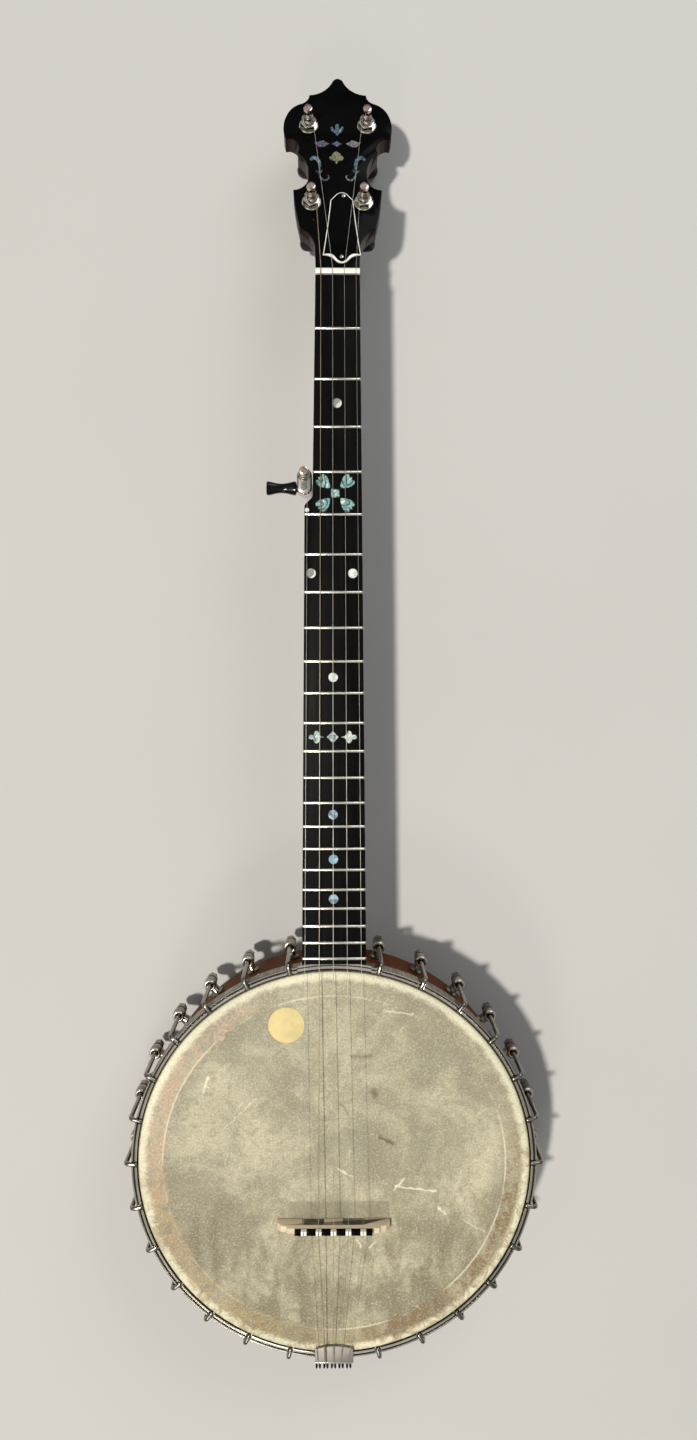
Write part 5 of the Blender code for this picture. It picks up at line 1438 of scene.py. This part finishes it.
def post_shape(height, depth, hole_turn):
    """A string post: a waist with a string hole through it, and a wide dimpled top with a soft edge."""
    high, cap = height - 0.0050, POST_RADIUS + 0.0002
    low = high - 0.0058
    profile = [(0, -depth), (POST_RADIUS, -depth), (POST_RADIUS, low - 0.0003), (POST_RADIUS - 0.0003, low)]
    profile += [(POST_WAIST + 0.0001, low + 0.0006), (POST_WAIST, low + 0.0012), (POST_WAIST, high - 0.0012)]
    profile += [(POST_WAIST + 0.0001, high - 0.0006), (cap - 0.0002, high), (cap, high + 0.0003)]
    profile += [
        (cap, height - 0.0007), (cap - 0.0002, height - 0.0002), (cap - 0.0007, height), (0.0011, height)
    ]
    profile += [(0.0008, height - 0.0004), (0, height - 0.0005)]
    shape = turned(profile, 40)
    hole = moved(along_y(prism(circle(0.0007, 14), -0.01, 0.01)), at(0, 0, (low + high) / 2))
    return carved(shape, moved(hole, Matrix.Rotation(hole_turn, 4, "Z")))


# A button below its neck: shares of its width, thickness and length, and how square it is
BUTTON_LEVELS = (
    (0.62, 0.90, 0.21, 2.3),
    (0.86, 0.96, 0.34, 2.5),
    (0.97, 1, 0.50, 2.6),
    (1, 1, 0.62, 2.6),
    (0.97, 1, 0.78, 2.6),
    (0.90, 0.93, 0.90, 2.6),
    (0.78, 0.76, 0.97, 2.5),
    (0.60, 0.52, 1, 2.4),
)


def button_shape():
    """The black button and its shaft, down from the case's rear at z = 0."""
    neck, thick, wide, tall = 0.0036, 0.0040, 0.00975, 0.0155
    levels = [(0.0027, 0.0027, 0.008, 2), (0.0027, 0.0027, -GAP, 2), (neck, neck, -GAP, 2)]
    levels += [(neck * 0.95, neck * 0.95, -tall * 0.06, 2), (neck * 1.04, neck * 0.98, -tall * 0.13, 2.1)]
    levels += [(wide * x, thick * y, -tall * down, power) for x, y, down, power in BUTTON_LEVELS]
    return lofted([oval(x, y, z, 40, power) for x, y, z, power in reversed(levels)])


class BANJO_OT_tuning_pegs(bpy.types.Operator):
    """Makes the four geared pegs: case, washer, hex nut, pierced post and black button."""

    bl_idname = "banjo.tuning_pegs"
    bl_label = "Tuning pegs"

    def execute(self, context):
        rear = -PEGHEAD_THICKNESS - GAP - CASE_LENGTH
        for number, (x, y) in peg_places().items():
            place = PEGHEAD @ at(x, y, 0)
            peg, tuner = f"peg_{number}", f"tuner_{number}"
            piece(f"{peg}_case", case_shape(), "nickel_plate", place, stands_for=f"{tuner}_case")
            piece(f"{peg}_washer_and_nut", washer_and_nut(0.08 * number), "nickel_plate", place)
            post, lower = post_shape(POST_HEIGHT, POST_DEPTH, 0.7 * number), place @ at(0, 0, rear)
            piece(f"{peg}_post", post, "post_nickel", place, f"post_{number}", f"{tuner}_post")
            button = f"button_{number}"
            piece(f"{peg}_button", button_shape(), "black_button", lower, button, f"{tuner}_button")
        return {"FINISHED"}


def washer_and_nut(turn):
    """A round flange under a hex nut, and the collar that rises out of the nut round the post."""
    bore, top = POST_RADIUS + GAP, GAP + 0.0008 + 0.0036
    seat = GAP + 0.0008
    washer = turned(
        [(0.0050, GAP), (0.0068, GAP), (0.0070, GAP + 0.0003), (0.0066, seat), (0.0050, seat)], 48
    )
    nut = moved(hexagon(0.0063, seat, top, 0.0007, 0.0044), Matrix.Rotation(turn, 4, "Z"))
    collar = [
        (bore, top - 0.002), (0.0045, top - 0.002), (0.0045, top), (0.0042, top + 0.0005),
        (0.0039, top + 0.0016),
    ]
    collar += [(0.0036, top + 0.0019), (bore + 0.0002, top + 0.0019), (bore, top + 0.0016)]
    return added(washer, nut, turned(collar, 40))


def case_shape():
    """The planetary peg's case behind the peghead: a drum with grooves, drawn in towards the button."""
    bore, back = 0.0030, -PEGHEAD_THICKNESS - GAP
    rear, r = back - CASE_LENGTH, CASE_RADIUS
    profile = [(bore, 0), (0.0050, 0), (0.0050, back), (r - 0.0003, back), (r, back - 0.0003)]
    for depth in (0.0035, 0.0055):
        groove = ((0, 0), (0.0003, 0.0002), (0.0003, 0.0006), (0, 0.0008))
        profile += [(r - inset, back - depth - down) for inset, down in groove]
    taper = ((1, 0.53), (0.985, 0.55), (0.90, 0.59), (0.86, 0.64), (0.83, 0.80))
    profile += [(r * wide, back - CASE_LENGTH * down) for wide, down in taper]
    profile += [(r * 0.80, rear + 0.0012), (r * 0.77, rear + 0.0003), (r * 0.70, rear), (bore, rear)]
    return turned(profile, 56)


class BANJO_OT_fifth_peg(bpy.types.Operator):
    """Makes the fifth string's peg: its geared case beside the neck, its post and its waisted black knob."""

    bl_idname = "banjo.fifth_peg"
    bl_label = "Fifth peg"

    def execute(self, context):
        place = NECK @ fifth_frame()
        piece("fifth_case", fifth_case_shape(), "nickel_plate", place, stands_for="fifth_peg_case")
        post = post_shape(FIFTH_POST_HEIGHT, FIFTH_CASE_HEIGHT / 2, 0.4)
        piece("fifth_post", post, "post_nickel", place, "fifth_post", "fifth_peg_post")
        bore = POST_RADIUS + GAP
        collar = [(bore, -0.0004), (0.0046, -0.0004), (0.0046, 0.0004), (0.0042, 0.0008), (bore, 0.0008)]
        piece("fifth_post_collar", turned(collar, 36), "nickel_plate", place)
        worm = place @ at(0, -FIFTH_WORM_OFFSET, -FIFTH_CASE_HEIGHT / 2) @ tilted(-90, "Y")
        out = worm @ at(0, 0, FIFTH_CASE_WIDTH / 2 + GAP)
        piece("fifth_knob", fifth_knob_shape(), "black_button", out, "fifth_knob", "fifth_peg_knob")
        return {"FINISHED"}


def fifth_frame():
    """The fifth peg's frame: on the post's axis, at the case's top, with y along the neck."""
    x = BASS_EDGE_ABOVE_STEP - GAP - FIFTH_CASE_WIDTH / 2
    start = STEP_FRET_Y + STEP_HIGH + 0.0006
    return at(x, start + FIFTH_CASE_WIDTH / 2 + FIFTH_WORM_OFFSET, -0.0010)


def fifth_case_shape():
    half = FIFTH_CASE_WIDTH / 2
    far = FIFTH_CASE_LENGTH - half - FIFTH_WORM_OFFSET
    base, levels = -FIFTH_CASE_HEIGHT, []
    edges = [(0.0008, base), (0.0002, base + 0.0002), (0, base + 0.0008)]
    edges += [(0, -0.0016), (0.0002, -0.0008), (0.0007, -0.0003), (0.0016, 0)]
    for inset, z in edges:
        r = half - inset
        outline = arc((0, -FIFTH_WORM_OFFSET), r, 180, 360, 16) + arc((0, far - half), r, 0, 180, 16)
        levels.append([Vector((x, y, z)) for x, y in outline])
    screw = turned([(0, -0.0002), (0.0021, -0.0002), (0.0021, 0.0002), (0.0017, 0.0006), (0, 0.0007)], 28)
    slot = box(-0.003, 0.003, -0.0003, 0.0003, 0.0003, 0.002)
    screw = moved(carved(screw, slot), at(0, -FIFTH_WORM_OFFSET, 0) @ Matrix.Rotation(0.6, 4, "Z"))
    return added(lofted(levels), screw)


def fifth_knob_shape():
    """A flat spool-shaped knob, out from the case's side at z = 0."""
    wide, tall, far, sides = 0.0042, 0.0049, 0.0210, 40
    levels = [(0.0027, 0.0027, -0.005, 2), (0.0027, 0.0027, 0, 2), (wide * 0.80, tall * 0.80, 0, 2.4)]
    for i in range(13):
        share = i / 12
        drawn_in = 1 - 0.34 * math.sin(math.pi * share) ** 1.4
        levels.append((wide * drawn_in, tall * drawn_in, far * between(0.04, 0.96, share), 2.6))
    levels.append((wide * 0.88, tall * 0.90, far, 2.5))
    return lofted([oval(x, y, z, sides, power) for x, y, z, power in levels])


# Bridge, tailpiece and strings


class BANJO_OT_bridge(bpy.types.Operator):
    """Makes the maple bridge with its feet and stepped ends, its ebony strip, and the inserts in it."""

    bl_idname = "banjo.bridge"
    bl_label = "Bridge"

    def execute(self, context):
        height, half = BRIDGE_HEIGHT - GAP, BRIDGE_THICKNESS / 2
        place = POT @ at(BRIDGE_MIDDLE, BRIDGE_Y, GAP)
        body = thinned(prism(bridge_outline(height - BRIDGE_STRIP), -half, half), height)
        body = rounded(body, 0.0005, 3, 40)
        piece("bridge_maple", body, "bridge_wood", place, stands_for="bridge", sharp=25)
        top = thinned(
            box(-BRIDGE_TOP_HALF, BRIDGE_TOP_HALF, height - BRIDGE_STRIP, height, -half, half), height
        )
        cuts, inserts, slots = bmesh.new(), bmesh.new(), bmesh.new()
        wide, low = context.scene.banjo_sizes.insert_width / 2, height - BRIDGE_STRIP * 0.9
        for number in range(5):
            x, reach = bridge_string_x(number) - BRIDGE_MIDDLE, STRING_RADII[number] + 0.0002
            box(x - wide, x + wide, -0.01, 0.01, low, height + 0.01, cuts)
            insert = box(x - wide + 0.00005, x + wide - 0.00005, low, height, -half - 0.00005, half + 0.00005)
            added(inserts, thinned(insert, height))
            box(
                x - reach, x + reach, -0.01, 0.01, height - BRIDGE_SLOT_DEPTH + GAP * 0.5, height + 0.01,
                slots,
            )
        piece("bridge_strip", rounded(carved(top, cuts), 0.0002, 2, 50), "bridge_ebony", place)
        piece("bridge_inserts", carved(rounded(inserts, 0.00015, 2, 50), slots), "polished_bone", place)
        return {"FINISHED"}


def bridge_outline(top):
    """The bridge's outline in x and z: feet with arches between them, chamfered ends and a narrower top."""
    height = BRIDGE_HEIGHT - GAP
    half = [(0.0068, 0), (0.0069, 0.0050), (0.0074, 0.0068), (0.0088, 0.0076)]
    half += [(0.0202, 0.0076), (0.0216, 0.0068), (0.0221, 0.0050), (0.0222, 0)]
    half += [(0.0402, 0), (0.0402, height * 0.28), (0.0374, height * 0.54), (0.0335, height * 0.60)]
    half += [(0.0329, height * 0.70), (0.0320, height * 0.75), (BRIDGE_TOP_HALF, top)]
    return half + [(-x, z) for x, z in reversed(half)]


def thinned(shape, height):
    """Stands a prism up on its feet, cuts its faces across at half height and thins it towards the top."""
    moved(shape, tilted(90, "X"))
    every = shape.verts[:] + shape.edges[:] + shape.faces[:]
    bmesh.ops.bisect_plane(shape, geom=every, plane_co=(0, 0, height * 0.5), plane_no=(0, 0, 1))
    for vert in shape.verts:
        share = vert.co.z / height
        vert.co.y *= between(1, BRIDGE_TOP_THICKNESS / BRIDGE_THICKNESS, share)
    return shape


class BANJO_OT_tailpiece(bpy.types.Operator):
    """Makes the tailpiece: its arched plate with a bent lip, the string prongs and the strap behind it."""

    bl_idname = "banjo.tailpiece"
    bl_label = "Tailpiece"

    def execute(self, context):
        half, top = TAIL_WIDTH / 2, TAIL_RISE
        front, inner = -(HOOP_OUTER - TAIL_FRONT), -(HOOP_OUTER + GAP)
        outer = inner - TAIL_SHEET
        edge = [(half, front - 0.0022), (0, front), (-half, front - 0.0022)]
        plan = arc_through(*edge, 24) + [edge[-1], (-half, outer + TAIL_BEND), (half, outer + TAIL_BEND)]
        plate = rounded(prism(plan, top - TAIL_SHEET, top), 0.0004, 3, 50)
        low, within = top - TAIL_LIP, outer + TAIL_SHEET * 0.7
        bend = arc((outer + TAIL_BEND, top - TAIL_BEND), TAIL_BEND, 90, 180, 8)
        bend += [(outer, low), (within, low), (within, top - TAIL_SHEET), (outer + 0.0018, top - TAIL_SHEET)]
        lip = moved(across_x(prism(bend, 0, 2 * half - 0.0004)), at(0.0002 - half, 0, 0))
        # the plate takes a darker copy of the nickel, as painted shade
        piece("tail_plate", plate, "tail_nickel_painted_shade", POT, stands_for="tailpiece", sharp=25)
        # the lip takes a brighter copy of the nickel, as a painted highlight along its bent edge
        piece("tail_lip", rounded(lip, 0.0002, 2, 60), "nickel_painted_highlight", POT, sharp=40)
        prongs = bmesh.new()
        for number in range(5):
            for side in (-1, 1):
                x = tail_string_x(number) + side * PRONG_REACH
                path = [(x, outer + y, top - drop) for y, drop, radius in PRONG]
                added(prongs, swept(path, [radius for y, drop, radius in PRONG], 12))
        # the prongs, nearly black: painted shade below the plate's edge
        piece("tail_prongs", prongs, "prong_metal_painted_shade", POT)
        piece("tail_strap", strap_shape(inner), "nickel_plate", POT)
        return {"FINISHED"}


def strap_shape(inner):
    """The strap from the plate's lip down past the hoop and the rim to the tail bolt, as one bent sheet."""
    seat, low, bend_low = -(RIM_RADIUS + GAP), FLESH_HOOP_BOTTOM - 2 * GAP, -TONE_RING_SKIRT - GAP
    line = [(inner, TAIL_RISE - 0.0042), (inner, low), (seat, bend_low), (seat, ROD_HEIGHT - 0.008)]
    back = [(y - TAIL_SHEET, z) for y, z in reversed(line)]
    sheet = moved(across_x(prism(line + back, 0, STRAP_WIDTH)), at(-STRAP_WIDTH / 2, 0, 0))
    return rounded(sheet, 0.0003, 2, 8)


class BANJO_OT_strings(bpy.types.Operator):
    """Makes the strings: turns round each post, the run over nut and bridge, and the twist at the tail."""

    bl_idname = "banjo.strings"
    bl_label = "Strings"

    def execute(self, context):
        places = peg_places()
        back = NUT_Y + NUT_THICKNESS + 2 * GAP
        for number in range(4):
            radius, x = STRING_RADII[number], nut_string_x(number)
            peg_x, peg_y = places[number + 1]
            post = PEGHEAD @ at(peg_x, peg_y, 0)
            path = winding(post, radius, -math.copysign(1, peg_x))
            path += [NECK @ Vector((x, back, NUT_STRING_HEIGHT - 0.0004))]
            path += [
                NECK @ Vector((x, between(back, NUT_Y + GAP, share), NUT_STRING_HEIGHT)) for share in (0.5, 1)
            ]
            self.string(number, path, radius)
        radius, (x, y) = STRING_RADII[4], pip_place()
        path = winding(NECK @ fifth_frame() @ at(0, 0, FIFTH_POST_HEIGHT - POST_HEIGHT), radius, 1)
        path += [NECK @ Vector((x, y + shift, PIP_TOP + GAP + radius)) for shift in (0.0008, 0, -0.0008)]
        self.string(4, path, radius)
        return {"FINISHED"}

    def string(self, number, path, radius):
        shape = added(swept(path + over_bridge(number, radius), radius, 10), string_end(number, radius))
        finish = "bronze_wire" if number == 3 else "string_steel"
        piece(f"wire_{number + 1}", shape, finish, stands_for=f"string_{number + 1}", sharp=80)


def winding(post, radius, side):
    """The turns round a post, from the hole down to where the string leaves the post's side."""
    reach, per_turn = POST_WAIST + GAP + radius, 24
    steps = STRING_TURNS * per_turn
    path = []
    for i in range(steps + 1):
        back = 2 * math.pi * (steps - i) / per_turn
        angle = (0 if side > 0 else math.pi) + side * back
        height = WINDING_END + STRING_PITCH * (steps - i) / per_turn
        path.append(post @ Vector((reach * math.cos(angle), reach * math.sin(angle), height)))
    return path


def over_bridge(number, radius):
    """Over the bridge's two edges, then down to the tailpiece's back edge and between its prongs."""
    half, height = BRIDGE_TOP_THICKNESS / 2, BRIDGE_HEIGHT - BRIDGE_SLOT_DEPTH + GAP + radius
    x, tail = bridge_string_x(number), tail_string_x(number)
    back, rise = TAIL_BACK, TAIL_RISE + GAP + radius
    path = [(x, BRIDGE_Y + half, height), (x, BRIDGE_Y, height + 0.00005), (x, BRIDGE_Y - half, height)]
    path += [
        (tail, back + TAIL_SHEET, rise), (tail, back + 0.0008, rise - 0.0001), (tail, back, rise - 0.0006)
    ]
    path += [(tail, back - 0.0008, rise - 0.0014), (tail, back - 0.0018, TAIL_RISE - 0.0015)]
    return [POT @ Vector(point) for point in path]


def string_end(number, radius):
    """The twist over the string's last stretch before the tailpiece."""
    start = Vector((tail_string_x(number), TAIL_BACK + TAIL_SHEET, TAIL_RISE + GAP + radius))
    toward = (Vector((bridge_string_x(number), BRIDGE_Y, BRIDGE_HEIGHT)) - start).normalized()
    turns, per_turn, run = 9, 8, 0.011
    side, path = toward.orthogonal().normalized(), []
    rise = toward.cross(side)
    for i in range(turns * per_turn + 1):
        angle = 2 * math.pi * i / per_turn
        round_it = (side * math.cos(angle) + rise * math.sin(angle)) * (2 * radius + 0.00003)
        path.append(POT @ (start + toward * (run * i / (turns * per_turn) + 0.0015) + round_it))
    return swept(path, radius, 6)


# The stage


class BANJO_OT_stage(bpy.types.Operator):
    """Makes the pale floor, the camera and the lamps."""

    bl_idname = "banjo.stage"
    bl_label = "Stage"

    def execute(self, context):
        settings = context.scene.banjo_stage
        floor = bpy.data.meshes.new("floor")
        shape = bmesh.new()
        bmesh.ops.create_grid(shape, x_segments=1, y_segments=1, size=6.0)
        shape.to_mesh(floor)
        shape.free()
        floor.materials.append(bpy.data.materials["pale_floor"])
        ground = bpy.data.objects.new("floor", floor)
        ground.location.z = CAD_BOX[0][2] - 0.0002
        context.scene.collection.objects.link(ground)
        key = self.lamp("key_lamp", settings.key_power, 0.36, (-1.9, -0.8, 6.0), (1.0, 0.965, 0.90))
        fill = self.lamp("fill_lamp", settings.fill_power, 1.2, (1.0, 1.6, 1.6), (0.93, 0.965, 1.0))
        low = self.lamp("low_lamp", settings.low_power, 0.30, (-0.35, -1.50, 1.25), (1.0, 0.95, 0.86))
        camera = bpy.data.objects.new("camera", bpy.data.cameras.new("camera"))
        camera.data.sensor_fit, camera.data.sensor_height = "VERTICAL", 36.0
        camera.data.lens = settings.focal
        camera.location, camera.rotation_euler = settings.camera_place, CAMERA_TURN
        context.scene.collection.objects.link(camera)
        context.scene.camera = camera
        world = bpy.data.worlds.new("soft_sky")
        world.use_nodes = True
        self.sky(world.node_tree, settings.sky)
        context.scene.world = world
        context.scene.view_settings.view_transform = "Standard"
        return {"FINISHED"}

    def sky(self, tree, strength):
        """A plain sky, which a mirror sees as a room: brighter overhead and toward the key lamp."""
        made = Nodes(tree)
        heading = made.add("ShaderNodeTexCoord").outputs["Generated"]
        up = made.parts(heading)["Z"]
        window = made.vector("DOT_PRODUCT", heading, (-0.60, -0.35, 0.72), output="Value")
        things = made.add(
            "ShaderNodeTexNoise", {"Vector": heading, "Scale": 1.8, "Detail": 1.0}
        ).outputs["Fac"]
        room = made.math(
            "ADD", made.share(up, 0.15, 0.98, 0.10, 0.70), made.share(window, 0.90, 0.97, 0.0, 1.1)
        )
        room = made.times(room, made.share(things, 0.38, 0.62, 0.40, 1.35))
        seen = made.add("ShaderNodeLightPath").outputs
        mirrored = made.math("MAXIMUM", seen["Is Glossy Ray"], seen["Is Camera Ray"])
        back = tree.nodes["Background"]
        made.feed(back.inputs["Color"], (0.90, 0.92, 0.95))
        share = made.times(made.math("SUBTRACT", room, strength), mirrored)
        made.feed(back.inputs["Strength"], made.math("ADD", share, strength))

    def lamp(self, name, power, size, place, colour):
        """A square lamp aimed at the banjo's middle."""
        data = bpy.data.lights.new(name, "AREA")
        data.energy, data.size, data.color = power, size, colour
        lamp = bpy.data.objects.new(name, data)
        lamp.location = place
        lamp.rotation_euler = (Vector((0, -0.1, 0.05)) - Vector(place)).to_track_quat("-Z", "Y").to_euler()
        bpy.context.scene.collection.objects.link(lamp)
        return lamp


# Shell inlays in the board: how dense the growth lines of each are, and its tints
BOARD_PEARLS = (
    ("white", 9.0, (0.90, 0.90, 0.80), (0.62, 0.66, 0.62), (0.95, 0.94, 0.84), (0.55, 0.60, 0.58)),
    ("blue", 12.0, (0.55, 0.62, 0.66), (0.14, 0.30, 0.38), (0.30, 0.50, 0.58), (0.75, 0.80, 0.78)),
    ("green", 34.0, (0.10, 0.24, 0.20), (0.36, 0.55, 0.48), (0.16, 0.36, 0.40), (0.74, 0.86, 0.74)),
    ("pale_green", 30.0, (0.40, 0.50, 0.42), (0.80, 0.86, 0.74), (0.20, 0.34, 0.34), (0.82, 0.88, 0.78)),
)

# Shell inlays in the peghead, with their tints
PEGHEAD_PEARLS = (
    ("blue", (0.035, 0.075, 0.11), (0.10, 0.17, 0.22), (0.05, 0.12, 0.17), (0.20, 0.26, 0.27)),
    ("violet", (0.055, 0.050, 0.10), (0.11, 0.11, 0.20), (0.10, 0.05, 0.05), (0.14, 0.17, 0.27)),
    ("grey", (0.14, 0.14, 0.14), (0.24, 0.23, 0.22), (0.10, 0.10, 0.11), (0.30, 0.30, 0.27)),
    ("gold", (0.14, 0.12, 0.06), (0.24, 0.22, 0.12), (0.10, 0.12, 0.07), (0.34, 0.32, 0.20)),
)


class BANJO_OT_finishes(bpy.types.Operator):
    """Makes the finishes that the pieces use."""

    bl_idname = "banjo.finishes"
    bl_label = "Finishes"

    def execute(self, context):
        tones = context.scene.banjo_colours
        nickel = tuple(tones.nickel)
        metal("nickel_plate", nickel, 0.06, 0.16, 0.9)
        hoop_plate(nickel)
        # the hooks, and the shoes with their nuts: darker copies of the nickel, as painted shade
        metal("hook_nickel_painted_shade", (0.33, 0.31, 0.26), 0.14, 0.30, 0.65)
        metal("shoe_nickel_painted_shade", (0.27, 0.25, 0.20), 0.20, 0.36, 0.7)
        metal("post_nickel", (0.70, 0.56, 0.48), 0.08, 0.18, 0.9)
        # the tailpiece's plate: the nickel darkened, as painted shade
        metal("tail_nickel_painted_shade", shade(nickel, 0.42), 0.46, 0.56, 0.92)
        # the tailpiece's lip: the nickel brightened, as a painted highlight
        metal("nickel_painted_highlight", shade(nickel, 1.25), 0.20, 0.30, 0.95)
        # the tailpiece's prongs: nearly black metal, as painted shade
        metal("prong_metal_painted_shade", (0.018, 0.018, 0.018), 0.50, 0.60, 0.7)
        metal("bolt_steel", (0.42, 0.40, 0.36), 0.26, 0.44, 0.6)
        metal("fret_wire", (0.92, 0.87, 0.74), 0.16, 0.28, 0.9)
        metal("string_steel", (0.50, 0.48, 0.44), 0.28, 0.42, 0.8)
        metal("bronze_wire", (0.40, 0.33, 0.25), 0.30, 0.44, 0.8)
        rim, neck = tuple(tones.rim_wood), tuple(tones.neck_wood)
        wood("rim_lacquer", rim, shade(rim, 0.55), POT, 0.50, (1.0, 0.06, 1.0), 0.08, round_pot=True)
        wood("neck_lacquer", neck, shade(neck, 0.45), NECK, 0.28, (1.0, 0.05, 1.0), 0.2, stained=True)
        maple = tuple(tones.maple)
        wood("bridge_wood", maple, shade(maple, 0.86), POT, 0.42, (0.06, 1.0, 1.0), 0.2, pored=0.08)
        ebony()
        black_gloss("peghead_black", PEGHEAD, 0.04)
        black_gloss("black_button", PEGHEAD, 0.25)
        black_gloss("bridge_ebony", POT, 0.05)
        for name, lines, *tints in BOARD_PEARLS:
            pearl(f"pearl_{name}", tints, 150.0, lines)
        for name, *tints in PEGHEAD_PEARLS:
            pearl(f"peghead_pearl_{name}", tints, 220.0, 26.0)
        pale("polished_bone", (0.96, 0.94, 0.87), (0.88, 0.84, 0.72), 120.0, 0.30)
        disc = tuple(tones.disc)
        pale("paper_disc", disc, shade(disc, 0.82), 90.0, 0.6)
        calfskin(tuple(tones.skin), tuple(tones.skin_tan), tuple(tones.skin_edge))
        floor_finish(tuple(tones.floor))
        return {"FINISHED"}


# Registration

OPERATORS = (
    BANJO_OT_finishes,
    BANJO_OT_rim,
    BANJO_OT_tone_ring,
    BANJO_OT_head,
    BANJO_OT_tension_hoop,
    BANJO_OT_brackets,
    BANJO_OT_coordinator_rod,
    BANJO_OT_neck,
    BANJO_OT_fingerboard,
    BANJO_OT_nuts,
    BANJO_OT_peghead_face,
    BANJO_OT_truss_cover,
    BANJO_OT_tuning_pegs,
    BANJO_OT_fifth_peg,
    BANJO_OT_bridge,
    BANJO_OT_tailpiece,
    BANJO_OT_strings,
    BANJO_OT_stage,
)


class BANJO_PT_panel(bpy.types.Panel):
    """Lists the operators, and the sizes and colours that they read."""

    bl_idname = "BANJO_PT_panel"
    bl_label = "Banjo"
    bl_space_type = "VIEW_3D"
    bl_region_type = "UI"
    bl_category = "Banjo"

    def draw(self, context):
        scene = context.scene
        for operator in OPERATORS:
            self.layout.operator(operator.bl_idname)
        for group in (scene.banjo_sizes, scene.banjo_colours, scene.banjo_stage):
            part = self.layout.box()
            for name in group.__annotations__:
                part.prop(group, name)


CLASSES = (BanjoSizes, BanjoColours, StageSettings, *OPERATORS, BANJO_PT_panel)


def register():
    for item in CLASSES:
        bpy.utils.register_class(item)
    bpy.types.Scene.banjo_sizes = PointerProperty(type=BanjoSizes)
    bpy.types.Scene.banjo_colours = PointerProperty(type=BanjoColours)
    bpy.types.Scene.banjo_stage = PointerProperty(type=StageSettings)


def unregister():
    del bpy.types.Scene.banjo_stage
    del bpy.types.Scene.banjo_colours
    del bpy.types.Scene.banjo_sizes
    for item in reversed(CLASSES):
        bpy.utils.unregister_class(item)


def main():
    register()
    for operator in OPERATORS:
        group, name = operator.bl_idname.split(".")
        getattr(getattr(bpy.ops, group), name)()


if __name__ == "__main__":
    main()
